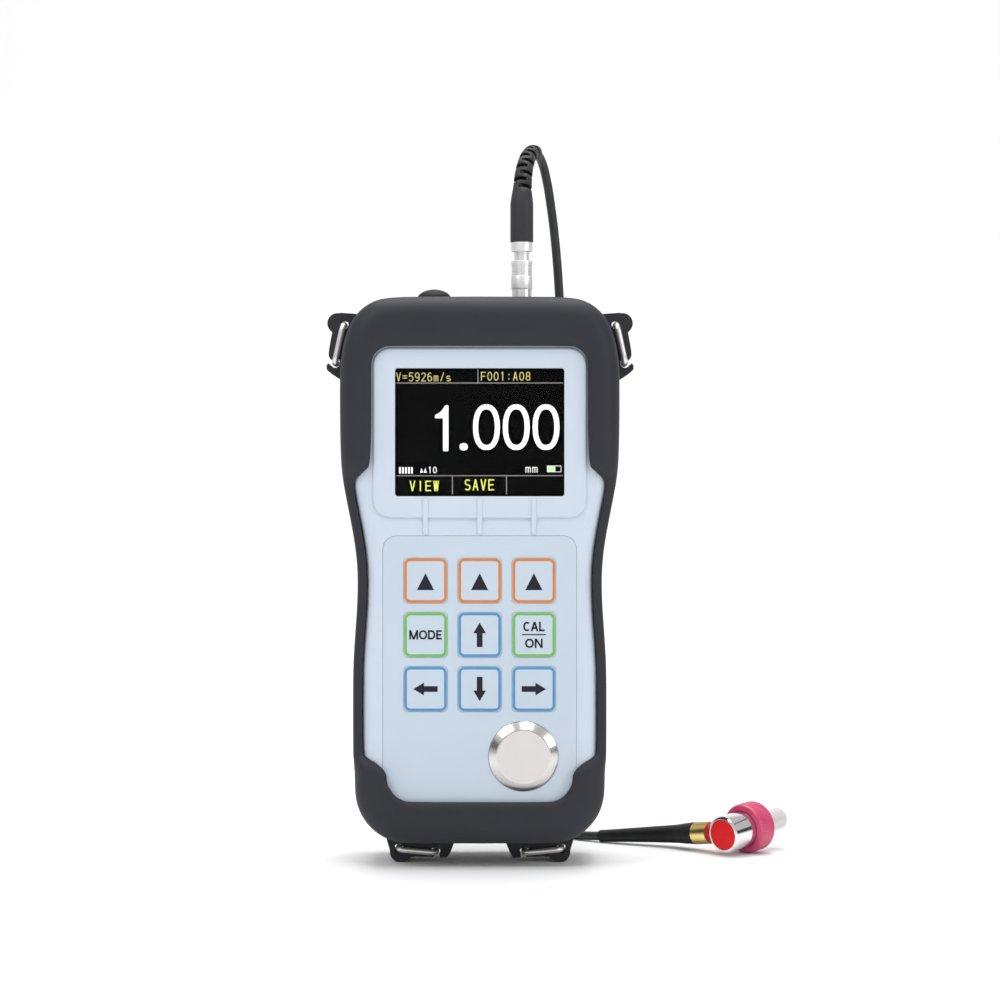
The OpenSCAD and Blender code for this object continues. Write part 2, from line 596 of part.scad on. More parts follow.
module zero_disc() color("#c4c6c8") gauge() translate([disc_x, face_y + film_thick, disc_z])
  rotate([90, 0, 0]) {
    cylinder(h = film_thick + 0.3, r = disc_d / 2);
    translate([0, 0, film_thick + 0.3])
      cylinder(h = disc_rise - 0.3, r1 = disc_d / 2, r2 = disc_flat_d / 2);
    translate([0, 0, -7]) cylinder(h = 7.2, r = 4);
  }
module disc_nut() color("#a9acb0") gauge() translate([disc_x, plate_y + 2.6, disc_z])
  rotate([90, 0, 0]) difference() {
    cylinder(h = 2.6, r = 6.6, $fn = 6);
    translate([0, 0, -1]) cylinder(h = 5, r = 4.02);
  }

module probe_socket() color("#c2c4c6") gauge() difference() {
  union() {
    post(plug_x, case_top, socket_top, 5);
    post(plug_x, case_top - 11, case_top + 0.2, 4);
  }
  post(plug_x, case_top - 9, socket_top + 1, core_d / 2 + run_fit);
}
module socket_nut() color("#a9acb0") gauge() difference() {
  post(plug_x, case_top - case_wall - 2, case_top - case_wall, 5.6);
  post(plug_x, case_top - case_wall - 3, case_top, 4.02);
}
module data_port() color("#3a3d42") gauge() difference() {
  union() {
    post(-cap_x, case_top - 10, case_top, 4);
    post(-cap_x, case_top - case_wall - 2, case_top - case_wall, 5.4);
  }
  post(-cap_x, case_top - 8, case_top + 1, 3);
}
module port_cap() color("#26282b") gauge() translate([-cap_x, 0, 0]) {
  translate([0, 0, case_top + 0.05]) cylinder(h = top_z - case_top + 0.4, r = cap_d / 2);
  translate([0, 0, top_z + 0.45]) difference() {
    translate([0, 0, cap_rise - 0.45 - 6.6]) sphere(6.6);
    translate([0, 0, -20]) cylinder(h = 20, r = 12);
  }
  translate([0, 0, case_top - 7]) cylinder(h = 7.2, r = 3 - run_fit);
}
module buzzer() color("#17181a") gauge() {
  peg(-18, board_z[1] - 42, board_y + 1.6, board_y + 7.4, 6);
}

// A strap ring: wire bent round a rectangle that lies on the line between its eyes
function ring_path(long) = [for (c = [[long - 2, -bar_y + 2, -90], [long - 2, ring_reach - 2, 0],
  [2, ring_reach - 2, 90], [2, -bar_y + 2, 180]]) for (i = [0:5])
  let(a = c[2] + 18 * i) [[c[0] + 2 * cos(a), c[1] + 2 * sin(a), 0], [cos(a), sin(a), 0]]];
module strap_ring(eyes) {
  run = eyes[1] - eyes[0];
  translate([eyes[0][0], 0, eyes[0][1]]) rotate([0, -atan2(run[1], run[0]), 0])
    ring_skin([for (p = ring_path(norm(run))) [for (j = [0:9])
      p[0] + wire_r * (cos(36 * j) * p[1] + sin(36 * j) * [0, 0, 1])]]);
}
module ring_upper_left() color("#c8cacc") gauge() mirror([1, 0, 0]) strap_ring(upper_eyes);
module ring_upper_right() color("#c8cacc") gauge() strap_ring(upper_eyes);
module ring_lower_left() color("#c8cacc") gauge() mirror([1, 0, 0]) strap_ring(lower_eyes);
module ring_lower_right() color("#c8cacc") gauge() strap_ring(lower_eyes);

module plug_core() color("#b4b7ba") gauge() {
  post(plug_x, case_top - 7, relief_z - 0.4, core_d / 2);
  post(plug_x, relief_z - 0.6, relief_z, 1.6);
}
module release_sleeve() color("#d2d4d6") gauge() difference() {
  union() {
    post(plug_x, sleeve_z[0], sleeve_z[1], sleeve_d / 2 - 0.25);
    post(plug_x, sleeve_z[1] - 8.6, sleeve_z[1] - 4.6, sleeve_d / 2 - 0.02);
    post(plug_x, sleeve_z[1] - 4.8, sleeve_z[1] - 1.2, sleeve_d / 2 - 0.14);
    post(plug_x, sleeve_z[1] - 1.4, sleeve_z[1], sleeve_d / 2);
  }
  post(plug_x, sleeve_z[0] - 1, sleeve_z[1] + 1, core_d / 2 + run_fit);
}
module collet_nut() color("#c6c8ca") gauge() difference() {
  union() {
    post(plug_x, nut_z[0], nut_z[1], sleeve_d / 2 - 0.2);
    post(plug_x, nut_z[0] + 0.5, nut_z[1] - 0.5, sleeve_d / 2);
  }
  post(plug_x, nut_z[0] - 1, nut_z[1] - 0.4, core_d / 2 + 0.01);
  post(plug_x, nut_z[1] - 1, nut_z[1] + 1, 1.65);
}

// The plug's strain relief tapers along the cable, with slots from the right and left in turn
relief_line = part_of(smooth(plug_route, relief_fine), 0, relief_segments * relief_fine);
relief_s = [for (i = 0, s = 0; i < len(relief_line); s = i + 1 < len(relief_line)
  ? s + norm(relief_line[i + 1] - relief_line[i]) : s, i = i + 1) s];
relief_long = relief_s[len(relief_s) - 1];
relief_stops = concat([0, 4, 8], [for (f = [0.74, 0.83, 0.92]) f * slot_start], [for (k = [0:slot_count - 1])
  for (d = [0, 0.04, slot_wide, slot_wide + 0.04]) slot_start + k * slot_pitch + d], [relief_long]);
function on_relief(s) = [for (k = [0:2])
  lookup(s, [for (i = [0:len(relief_line) - 1]) [relief_s[i], relief_line[i][k]]])];
function slot_side(s) = let(k = floor((s - slot_start) / slot_pitch), t = s - slot_start - k * slot_pitch)
  k < 0 || k >= slot_count || t < 0.02 || t > slot_wide + 0.02 ? 0 : k % 2 == 0 ? 1 : -1;
function relief_r(s, a) = slot_side(s) * sin(a) > -0.3 && slot_side(s) != 0 ? cable_d / 2 + slot_floor
  : lookup(s, [[0.74 * slot_start, sleeve_d / 2 + 0.2], [1.06 * slot_start, sleeve_d / 2 - 0.45],
    [relief_long, cable_d / 2 + 0.9]]);
module plug_relief() color("#1b1c1e") gauge() rod_skin([for (s = relief_stops)
  let(t = unit(on_relief(s + 0.3) - on_relief(s - 0.3)), u = unit(cross([1, 0, 0], t)), v = cross(t, u))
  [for (j = [0:15]) let(a = -22.5 * j) on_relief(s) + relief_r(s, a) * (cos(a) * u + sin(a) * v)]],
  relief_line[0], relief_line[len(relief_line) - 1]);
module cable_drop() color("#17181a") gauge() let(last = len(plug_line) - 1)
  tube(part_of(plug_line, relief_rings, last), [for (i = [relief_rings:last]) cable_d / 2], [1, 0, 0], 8);
module cable_coil() color("#17181a") gauge() translate(coil_at) rotate_extrude()
  translate([coil_r, 0]) circle(bundle_r);
module coil_tie() color("#2a2c30") gauge() translate(coil_at + [-coil_r, 0, 0]) rotate([90, 0, 0])
  difference() {
    cylinder(h = 3, r = bundle_r + tie_t, center = true);
    cylinder(h = 5, r = bundle_r + 0.1, center = true);
  }
module cable_lead() color("#17181a") gauge() tube(part_of(lead_line, 0, lead_rings),
  [for (i = [0:lead_rings]) cable_d / 2], [0, 0, 1], 8);
module lead_relief() color("#1b1c1e") gauge() let(last = len(lead_line) - 1)
  tube(part_of(lead_line, lead_rings, last), [for (i = [lead_rings:last])
    cable_d / 2 + 0.5 + (conn_d - cable_d - 0.9) / 2 * (i - lead_rings) / (last - lead_rings)],
    [0, 0, 1], 16);

module side_connector() color("#c9a24a") gauge() on_connector() {
  translate([0, 0, probe_d / 2 + washer_long]) cylinder(h = conn_long, r = conn_d / 2 - 0.3);
  for (i = [0:2]) translate([0, 0, probe_d / 2 + washer_long + 0.4 + i * conn_long / 3.1])
    cylinder(h = 1.6, r = conn_d / 2);
}
module connector_washer() color("#a8322c") gauge() difference() {
  on_connector() translate([0, 0, probe_d / 2 - 2]) cylinder(h = washer_long + 2, r = conn_d / 2 - 0.2);
  on_probe() translate([0, 0, -1]) cylinder(h = probe_bare + 2, r = probe_d / 2 + 0.02);
}
module probe_body() color("#c9cbcd") gauge() on_probe() {
  difference() {
    union() {
      cylinder(h = 0.6, r1 = probe_d / 2 - 0.6, r2 = probe_d / 2);
      translate([0, 0, 0.6]) cylinder(h = probe_bare - 0.6, r = probe_d / 2);
    }
    translate([0, 0, -1]) cylinder(h = 1.15, r = 4.75);
  }
  translate([0, 0, probe_bare - 0.5]) cylinder(h = flange_at - probe_bare + 0.5, r = 4.2);
}
module probe_label() color("#c9302c") gauge() on_probe() cylinder(h = 0.15, r = 4.7);
module knurled_ring() color("#c0347e") gauge() on_probe() difference() {
  union() {
    translate([0, 0, probe_bare + 0.3]) cylinder(h = 0.7, r1 = knurl_d / 2 - 0.5, r2 = knurl_d / 2);
    translate([0, 0, probe_bare + 1]) cylinder(h = knurl_long - 1.4, r = knurl_d / 2);
    translate([0, 0, probe_bare + knurl_long - 0.4])
      cylinder(h = 0.7, r1 = knurl_d / 2, r2 = knurl_d / 2 - 0.5);
  }
  translate([0, 0, probe_bare]) cylinder(h = flange_at + 1.3 - probe_bare, r = 4.2 + run_fit);
  translate([0, 0, probe_bare]) cylinder(h = knurl_long + 1, r = tip_d / 2 + 2 * run_fit);
}
module delay_tip() color("#eceae4") gauge() on_probe()
  translate([0, 0, flange_at]) {
    cylinder(h = 1.2, r = 4.2);
    cylinder(h = tip_long + 2, r = tip_d / 2);
    translate([0, 0, tip_long + 2]) cylinder(h = 0.5, r1 = tip_d / 2, r2 = tip_d / 2 - 0.5);
  }

rubber_boot();
front_case();
rear_case();
case_gasket();
case_screws();
display_window();
display_module();
keypad_film();
key_soft_left();
key_soft_middle();
key_soft_right();
key_mode();
key_up();
key_on();
key_left();
key_down();
key_right();
dome_sheet();
main_board();
battery_cells();
battery_door();
door_screws();
zero_disc();
disc_nut();
probe_socket();
socket_nut();
data_port();
port_cap();
buzzer();
ring_upper_left();
ring_upper_right();
ring_lower_left();
ring_lower_right();
plug_core();
release_sleeve();
collet_nut();
plug_relief();
cable_drop();
cable_coil();
coil_tie();
cable_lead();
lead_relief();
side_connector();
connector_washer();
probe_body();
probe_label();
knurled_ring();
delay_tip();
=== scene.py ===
"""Looks of an ultrasonic thickness gauge: a booted meter, its plug, cable and probe."""

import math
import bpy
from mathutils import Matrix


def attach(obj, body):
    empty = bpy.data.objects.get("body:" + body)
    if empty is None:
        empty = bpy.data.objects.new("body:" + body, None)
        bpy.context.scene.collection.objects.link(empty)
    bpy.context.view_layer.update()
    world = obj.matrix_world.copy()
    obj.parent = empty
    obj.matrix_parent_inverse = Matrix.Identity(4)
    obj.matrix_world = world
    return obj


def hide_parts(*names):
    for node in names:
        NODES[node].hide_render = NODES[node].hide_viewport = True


bl_info = {
    "name": "Thickness gauge looks",
    "version": (1, 0, 0),
    "blender": (4, 5, 0),
    "location": "View3D > Sidebar > Gauge",
    "description": "Builds the visible pieces of a booted thickness gauge round its packed solids",
    "category": "Add Mesh",
}

from contextlib import contextmanager

import bmesh
import bpy
from mathutils import Matrix, Vector

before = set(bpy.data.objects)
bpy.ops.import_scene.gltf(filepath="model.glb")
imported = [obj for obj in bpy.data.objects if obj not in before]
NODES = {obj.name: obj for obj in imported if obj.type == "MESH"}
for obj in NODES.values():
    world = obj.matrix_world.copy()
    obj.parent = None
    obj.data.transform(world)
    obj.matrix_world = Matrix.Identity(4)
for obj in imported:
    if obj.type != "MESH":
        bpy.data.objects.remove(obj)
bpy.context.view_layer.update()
MM = 0.001

# Places in millimetres, from the gauge's middle plane, depth middle and floor
FOOT = 23.8  # from the frame's origin left to the middle plane
PLUG_X, SLEEVE_Z, NUT_Z, RELIEF_Z = 12.6, 167.75, 183.9, 187.1
CAP_X, CAP_Z = -13.9, 165.95
DISC_X, DISC_Y, DISC_Z = 12.9, -17.2, 33.3
WINDOW_Y, WINDOW_Z, PICTURE_Y = -17.15, 129, -16.32
PANEL_Y, KEY_FACE_Y, KEY_BACK_Y = -18.05, -18.0, -15.4
KEY_PITCH, KEY_ROW_Z = 16, 69.2
RING_R, RING_START = 7.6, 10.3
INK, HAIR = 0.02, 0.015  # thickness of printed and lit signs, and of thin lines

# Keys: column, row and colour of the frame
KEYS = {
    "key_soft_left": (-1, 1, "orange"),
    "key_soft_middle": (0, 1, "orange"),
    "key_soft_right": (1, 1, "orange"),
    "key_mode": (-1, 0, "green"),
    "key_up": (0, 0, "blue"),
    "key_on": (1, 0, "green"),
    "key_left": (-1, -1, "blue"),
    "key_down": (0, -1, "blue"),
    "key_right": (1, -1, "blue"),
}


# Places as matrices

TIPPED = Matrix.Rotation(math.radians(90), 4, "X")


def at(x, y, z):
    """A point of the gauge, in the frame's metres."""
    return Vector(((x - FOOT) * MM, y * MM, z * MM))


def facing(x, y, z):
    """A place whose own Z axis points out of the gauge's face, with Y up."""
    return Matrix.Translation(at(x, y, z)) @ TIPPED


def upright(x, y, z):
    """A place whose own Z axis points up."""
    return Matrix.Translation(at(x, y, z))


def along(point, axis):
    """A place whose own Z axis points along an axis."""
    return Matrix.Translation(point) @ Vector(axis).to_track_quat("Z", "Y").to_matrix().to_4x4()


# The probe's axis and that of its side connector, by their angles
YAW, LIFT, DROP = (math.radians(angle) for angle in (46, 5, 7))
PROBE_AXIS = Vector((math.cos(LIFT) * math.cos(YAW), math.cos(LIFT) * math.sin(YAW),
                     math.sin(LIFT)))
PROBE_AT = at(74, 6.3, RING_R * math.cos(LIFT) - RING_START * math.sin(LIFT))
CONNECTOR_AXIS = Vector((-math.sin(YAW) * math.cos(DROP), math.cos(YAW) * math.cos(DROP),
                         -math.sin(DROP)))
CONNECTOR_AT = PROBE_AT + 5 * MM * PROBE_AXIS
NOSE, SIDE = along(PROBE_AT, PROBE_AXIS), along(CONNECTOR_AT, CONNECTOR_AXIS)


# Working by hand: selection, edit mode and finishing

def clear():
    """Back to object mode with nothing selected."""
    if bpy.context.object and bpy.context.object.mode != "OBJECT":
        bpy.ops.object.mode_set(mode="OBJECT")
    bpy.ops.object.select_all(action="DESELECT")


def take(obj):
    """Makes a piece the only selected one."""
    clear()
    obj.select_set(True)
    bpy.context.view_layer.objects.active = obj


def whole():
    """Selects all of the mesh being edited."""
    bpy.ops.mesh.select_all(action="SELECT")


@contextmanager
def editing(obj):
    """Edit mode on one piece, with nothing selected at the start."""
    take(obj)
    bpy.ops.object.mode_set(mode="EDIT")
    bpy.ops.mesh.select_all(action="DESELECT")
    yield
    bpy.ops.object.mode_set(mode="OBJECT")


def pick(obj, kind, test):
    """Selects the faces, edges or vertices of the mesh being edited that pass a test."""
    bpy.ops.mesh.select_mode(type=kind)
    bpy.ops.mesh.select_all(action="DESELECT")
    mesh = bmesh.from_edit_mesh(obj.data)
    items = {"FACE": mesh.faces, "EDGE": mesh.edges, "VERT": mesh.verts}[kind]
    found = [item for item in items if test(item)]
    for item in found:
        item.select_set(True)
    bmesh.update_edit_mesh(obj.data)
    return len(found)


def tidy_mesh(obj):
    """Merges doubles and turns the faces outwards."""
    with editing(obj):
        whole()
        bpy.ops.mesh.remove_doubles(threshold=1e-6)
        bpy.ops.mesh.normals_make_consistent()


def shade(obj, angle):
    """Smooth shading up to an angle in degrees."""
    take(obj)
    bpy.ops.object.shade_smooth_by_angle(angle=math.radians(angle))


def settle(obj, place):
    """Puts a piece in its place and leaves its object at the origin."""
    obj.matrix_world = place
    take(obj)
    bpy.ops.object.transform_apply()


def hand_over(obj, name, finish, body="gauge", stands_for=()):
    """Names a finished piece, gives it its finish and puts it on its body."""
    obj.name = obj.data.name = name
    obj.data.materials.clear()
    obj.data.materials.append(FINISHES[finish])
    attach(obj, body)
    if stands_for:
        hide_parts(*stands_for)
    clear()


def node_copy(node, angle=35, flat=True):
    """A merged copy of a solid's mesh, shaded smooth."""
    obj = bpy.data.objects.new(node + "_copy", NODES[node].data.copy())
    bpy.context.scene.collection.objects.link(obj)
    with editing(obj):
        whole()
        bpy.ops.mesh.remove_doubles(threshold=2e-6)
        if flat:
            bpy.ops.mesh.dissolve_limited(angle_limit=math.radians(0.3))
    shade(obj, angle)
    return obj


def sheet(w, h):
    """A new flat sheet w by h in millimetres, selected in edit mode."""
    clear()
    bpy.ops.mesh.primitive_plane_add(size=1, enter_editmode=True)
    bpy.ops.transform.resize(value=(w * MM, h * MM, 1))
    return bpy.context.object


def draw_out(height):
    """Draws what is selected out along Z, by a height in metres."""
    bpy.ops.mesh.extrude_region_move(TRANSFORM_OT_translate={"value": (0, 0, height)})


def thicken(obj, depth):
    """Draws the whole sheet being edited out by a depth in millimetres."""
    whole()
    draw_out(depth * MM)
    bpy.ops.object.mode_set(mode="OBJECT")
    tidy_mesh(obj)
    return obj


def slab(w, h, r, depth, edge=0.0):
    """A plate w by h with corners of radius r, depth thick, with its front edge rounded."""
    obj = sheet(w, h)
    if r:
        bpy.ops.mesh.bevel(offset=r * MM, segments=7, affect="VERTICES")
    thicken(obj, depth)
    if edge:
        with editing(obj):
            pick(obj, "EDGE", lambda e: all(abs(v.co.z - depth * MM) < 1e-7 for v in e.verts))
            bpy.ops.mesh.bevel(offset=edge * MM, segments=3, affect="EDGES")
    return obj


def hoop(w, h, r, line):
    """A printed frame w by h with a line width."""
    obj = sheet(w, h)
    bpy.ops.mesh.bevel(offset=r * MM, segments=6, affect="VERTICES")
    whole()
    bpy.ops.mesh.inset(thickness=line * MM, use_even_offset=True)
    bpy.ops.mesh.delete(type="FACE")
    return thicken(obj, INK)


def cut_out(points):
    """A printed shape through points in millimetres."""
    clear()
    bpy.ops.mesh.primitive_circle_add(vertices=len(points), radius=MM, fill_type="NGON",
                                      enter_editmode=True)
    obj = bpy.context.object
    mesh = bmesh.from_edit_mesh(obj.data)
    mesh.verts.ensure_lookup_table()
    for vert, (x, y) in zip(mesh.verts, points):
        vert.co = (x * MM, y * MM, 0)
    bmesh.update_edit_mesh(obj.data)
    return thicken(obj, INK)


def turned(rings, sides=64, angle=30, bored=False):
    """A turned piece: rings of (radius, height) in millimetres, drawn out one after another."""
    clear()
    r, h = rings[0]
    bpy.ops.mesh.primitive_circle_add(vertices=sides, radius=r * MM, location=(0, 0, h * MM),
                                      fill_type="NOTHING" if bored else "NGON", enter_editmode=True)
    obj = bpy.context.object
    bpy.ops.mesh.select_mode(type="VERT")
    whole()
    for r1, h1 in rings[1:]:
        draw_out((h1 - h) * MM)
        bpy.ops.transform.resize(value=(r1 / r, r1 / r, 1))
        r, h = r1, h1
    if not bored:
        bpy.ops.mesh.edge_face_add()
    bpy.ops.object.mode_set(mode="OBJECT")
    take(obj)
    bpy.ops.object.transform_apply()
    tidy_mesh(obj)
    shade(obj, angle)
    return obj


def flute(obj, low, high, deep, every=2):
    """Draws every second or third line of points between two heights towards the axis."""
    rim = 0.93

    def level(v):
        return low * MM <= v.co.z <= high * MM

    def turn(v):
        return math.atan2(v.co.y, v.co.x)

    with editing(obj):
        ring = [v for v in bmesh.from_edit_mesh(obj.data).verts if level(v)]
        outer = max(v.co.xy.length for v in ring)
        step = 2 * math.pi / len({round(turn(v), 4) for v in ring})
        pick(obj, "VERT", lambda v: level(v) and v.co.xy.length > rim * outer
             and round(turn(v) / step) % every == 0)
        inward = 1 - deep * MM / outer
        bpy.ops.transform.resize(value=(inward, inward, 1), center_override=(0, 0, 0))


def bow(x, y, rx, ry, start, end):
    """Points along part of an oval, slightly squared."""
    steps = max(6, int(abs(end - start) / 15))
    turns = [math.radians(start + (end - start) * i / steps) for i in range(steps + 1)]

    def squared(v):
        return math.copysign(abs(v) ** 0.88, v)

    return [(x + rx * squared(math.cos(a)), y + ry * squared(math.sin(a))) for a in turns]


def oval(x, y, rx, ry):
    """A closed oval as two bows."""
    return [bow(x, y, rx, ry, 90, 270), bow(x, y, rx, ry, -90, 90)]


# Letters and figures: a width, then bars and bows on a square from 0 to 1
LETTERS = {
    "A": (1.0, [[(0, 0), (0.5, 1)], [(1, 0), (0.5, 1)], [(0.2, 0.3), (0.8, 0.3)]]),
    "C": (0.9, [bow(0.55, 0.5, 0.55, 0.5, 48, 312)]),
    "D": (1.0, [[(0, 0), (0, 1)], [(0, 1), (0.45, 1)], [(0, 0), (0.45, 0)],
                bow(0.4, 0.5, 0.6, 0.5, 90, -90)]),
    "E": (0.75, [[(0, 0), (0, 1)], [(0, 1), (1, 1)], [(0, 0.5), (0.88, 0.5)], [(0, 0), (1, 0)]]),
    "F": (0.75, [[(0, 0), (0, 1)], [(0, 1), (1, 1)], [(0, 0.5), (0.85, 0.5)]]),
    "I": (0.3, [[(0.5, 0), (0.5, 1)]]),
    "L": (0.72, [[(0, 0), (0, 1)], [(0, 0), (1, 0)]]),
    "M": (1.2, [[(0, 0), (0, 1)], [(1, 0), (1, 1)], [(0, 1), (0.5, 0)], [(1, 1), (0.5, 0)]]),
    "N": (1.0, [[(0, 0), (0, 1)], [(1, 0), (1, 1)], [(0, 1), (1, 0)]]),
    "O": (1.1, oval(0.5, 0.5, 0.5, 0.5)),
    "S": (0.85, [bow(0.5, 0.75, 0.48, 0.25, 28, 270), bow(0.5, 0.25, 0.5, 0.25, 90, -152)]),
    "V": (1.0, [[(0, 1), (0.5, 0)], [(1, 1), (0.5, 0)]]),
    "W": (1.3, [[(0, 1), (0.26, 0)], [(0.5, 1), (0.26, 0)], [(0.5, 1), (0.74, 0)],
                [(1, 1), (0.74, 0)]]),
    "m": (1.0, [[(0, 0), (0, 0.66)], [(0.5, 0), (0.5, 0.56)], [(1, 0), (1, 0.56)],
                bow(0.25, 0.5, 0.25, 0.14, 180, 0), bow(0.75, 0.5, 0.25, 0.14, 180, 0)]),
    "s": (0.8, [bow(0.5, 0.46, 0.48, 0.15, 28, 270), bow(0.5, 0.15, 0.5, 0.15, 90, -152)]),
    "0": (0.8, oval(0.5, 0.5, 0.5, 0.5)),
    "1": (0.8, [[(0.55, 0), (0.55, 1)], [(0.55, 1), (0.2, 0.78)]]),
    "2": (0.8, [bow(0.5, 0.72, 0.5, 0.28, 165, -25), [(0.9, 0.58), (0, 0.08)], [(0, 0), (1, 0)]]),
    "5": (0.8, [[(0.1, 1), (0.95, 1)], [(0.06, 0.52), (0.12, 1)],
                bow(0.46, 0.32, 0.54, 0.32, 125, -150)]),
    "6": (0.8, [*oval(0.5, 0.3, 0.5, 0.3), bow(0.55, 0.5, 0.55, 0.5, 55, 200)]),
    "8": (0.8, [*oval(0.5, 0.75, 0.43, 0.25), *oval(0.5, 0.25, 0.5, 0.25)]),
    "9": (0.8, [*oval(0.5, 0.7, 0.5, 0.3), bow(0.45, 0.5, 0.55, 0.5, 20, -125)]),
    "=": (0.8, [[(0, 0.64), (1, 0.64)], [(0, 0.36), (1, 0.36)]]),
    "/": (0.8, [[(0.1, 0), (0.9, 1)]]),
    ":": (0.8, [[(0.5, 0.12), (0.5, 0.26)], [(0.5, 0.62), (0.5, 0.76)]]),
}


# A straight stroke that rises less than this is level
LEVEL = 0.02


def ribbon(left, right):
    """A thin strip between two rows of points in millimetres."""
    clear()
    bpy.ops.mesh.primitive_grid_add(x_subdivisions=len(left) - 1, y_subdivisions=1, size=MM,
                                    enter_editmode=True)
    obj = bpy.context.object
    mesh = bmesh.from_edit_mesh(obj.data)
    rows = sorted(mesh.verts, key=lambda v: (round(v.co.y, 7), v.co.x))
    for vert, (x, y) in zip(rows, right + left):
        vert.co = (x * MM, y * MM, 0)
    bmesh.update_edit_mesh(obj.data)
    return thicken(obj, INK)


def stroke(path, line):
    """One pen stroke: a bar with its ends cut level, or a bow of even width."""
    if len(path) == 2:
        (x0, y0), (x1, y1) = path
        half = line / 2
        if abs(y1 - y0) < LEVEL:
            return ribbon([(x0 - half, y0 + half), (x1 + half, y0 + half)],
                          [(x0 - half, y0 - half), (x1 + half, y0 - half)])
        half *= math.hypot(x1 - x0, y1 - y0) / abs(y1 - y0)
        return ribbon([(x0 - half, y0), (x1 - half, y1)], [(x0 + half, y0), (x1 + half, y1)])
    left, right = [], []
    for i, (x, y) in enumerate(path):
        (ax, ay), (bx, by) = path[max(0, i - 1)], path[min(len(path) - 1, i + 1)]
        run = math.hypot(bx - ax, by - ay)
        nx, ny = -(by - ay) / run * line / 2, (bx - ax) / run * line / 2
        left.append((x + nx, y + ny))
        right.append((x - nx, y - ny))
    return ribbon(left, right)


def words(text, w, h, line, even=False):
    """Lettering in a box w by h round its middle, drawn with a pen of one line width."""
    widths = [1.0 if even else LETTERS[c][0] for c in text]
    gap = (0.28 if even else 0.09) * w / len(text)
    unit = (w - gap * (len(text) - 1)) / sum(widths)
    x, parts = -w / 2, []
    for letter, share in zip(text, widths):
        wide = share * unit - line
        for path in LETTERS[letter][1]:
            bar = len(path) == 2 and abs(path[0][1] - path[1][1]) > LEVEL
            low, tall = (0, h) if bar else (line / 2, h - line)
            parts.append(stroke([(x + line / 2 + px * wide, -h / 2 + (low + py * tall))
                                 for px, py in path], line))
        x += share * unit + gap
    return joined(parts)


def joined(parts):
    """Several pieces made one."""
    clear()
    for part in parts:
        part.select_set(True)
    bpy.context.view_layer.objects.active = parts[0]
    bpy.ops.object.join()
    return parts[0]


# Finishes: shared effects as node groups, then one material for each surface

def put(node, **values):
    """Sets inputs of a node by their names, with _ for a space."""
    for name, value in values.items():
        node.inputs[name.replace("_", " ")].default_value = value


def effect(name, inputs, outputs):
    """A new node group with its sockets."""
    group = bpy.data.node_groups.new(name, "ShaderNodeTree")
    for label, kind, value in inputs:
        socket = group.interface.new_socket(label, in_out="INPUT", socket_type=kind)
        if value is not None:
            socket.default_value = value
    for label, kind in outputs:
        group.interface.new_socket(label, in_out="OUTPUT", socket_type=kind)
    return group, group.nodes.new("NodeGroupInput"), group.nodes.new("NodeGroupOutput")


def moulded_grain():
    """Fine moulded grain with slow changes of tone."""
    group, inp, out = effect(
        "Moulded grain",
        [("Vector", "NodeSocketVector", None), ("Grain scale", "NodeSocketFloat", 3000.0),
         ("Tone scale", "NodeSocketFloat", 40.0)],
        [("Grain", "NodeSocketFloat"), ("Tone", "NodeSocketFloat")])
    link = group.links.new
    grain, tone = group.nodes.new("ShaderNodeTexNoise"), group.nodes.new("ShaderNodeTexNoise")
    put(grain, Detail=3)
    put(tone, Detail=4, Roughness=0.6)
    for node, scale in ((grain, "Grain scale"), (tone, "Tone scale")):
        link(inp.outputs["Vector"], node.inputs["Vector"])
        link(inp.outputs[scale], node.inputs["Scale"])
    stretch = group.nodes.new("ShaderNodeMapRange")
    put(stretch, From_Min=0.3, From_Max=0.7)
    link(tone.outputs["Fac"], stretch.inputs["Value"])
    link(grain.outputs["Fac"], out.inputs["Grain"])
    link(stretch.outputs["Result"], out.inputs["Tone"])
    return group


def turned_lines():
    """Fine rings round an axis, as a lathe leaves them, with slow changes of tone."""
    group, inp, out = effect(
        "Turned lines",
        [("Vector", "NodeSocketVector", None), ("Line scale", "NodeSocketFloat", 900.0)],
        [("Lines", "NodeSocketFloat"), ("Tone", "NodeSocketFloat")])
    link = group.links.new
    wave, tone = group.nodes.new("ShaderNodeTexWave"), group.nodes.new("ShaderNodeTexNoise")
    wave.wave_type, wave.rings_direction = "RINGS", "Z"
    put(wave, Distortion=0.6, Detail=2)
    put(tone, Scale=260)
    link(inp.outputs["Vector"], wave.inputs["Vector"])
    link(inp.outputs["Line scale"], wave.inputs["Scale"])
    link(inp.outputs["Vector"], tone.inputs["Vector"])
    link(wave.outputs["Fac"], out.inputs["Lines"])
    link(tone.outputs["Fac"], out.inputs["Tone"])
    return group


EFFECTS = {}
FINISHES = {}


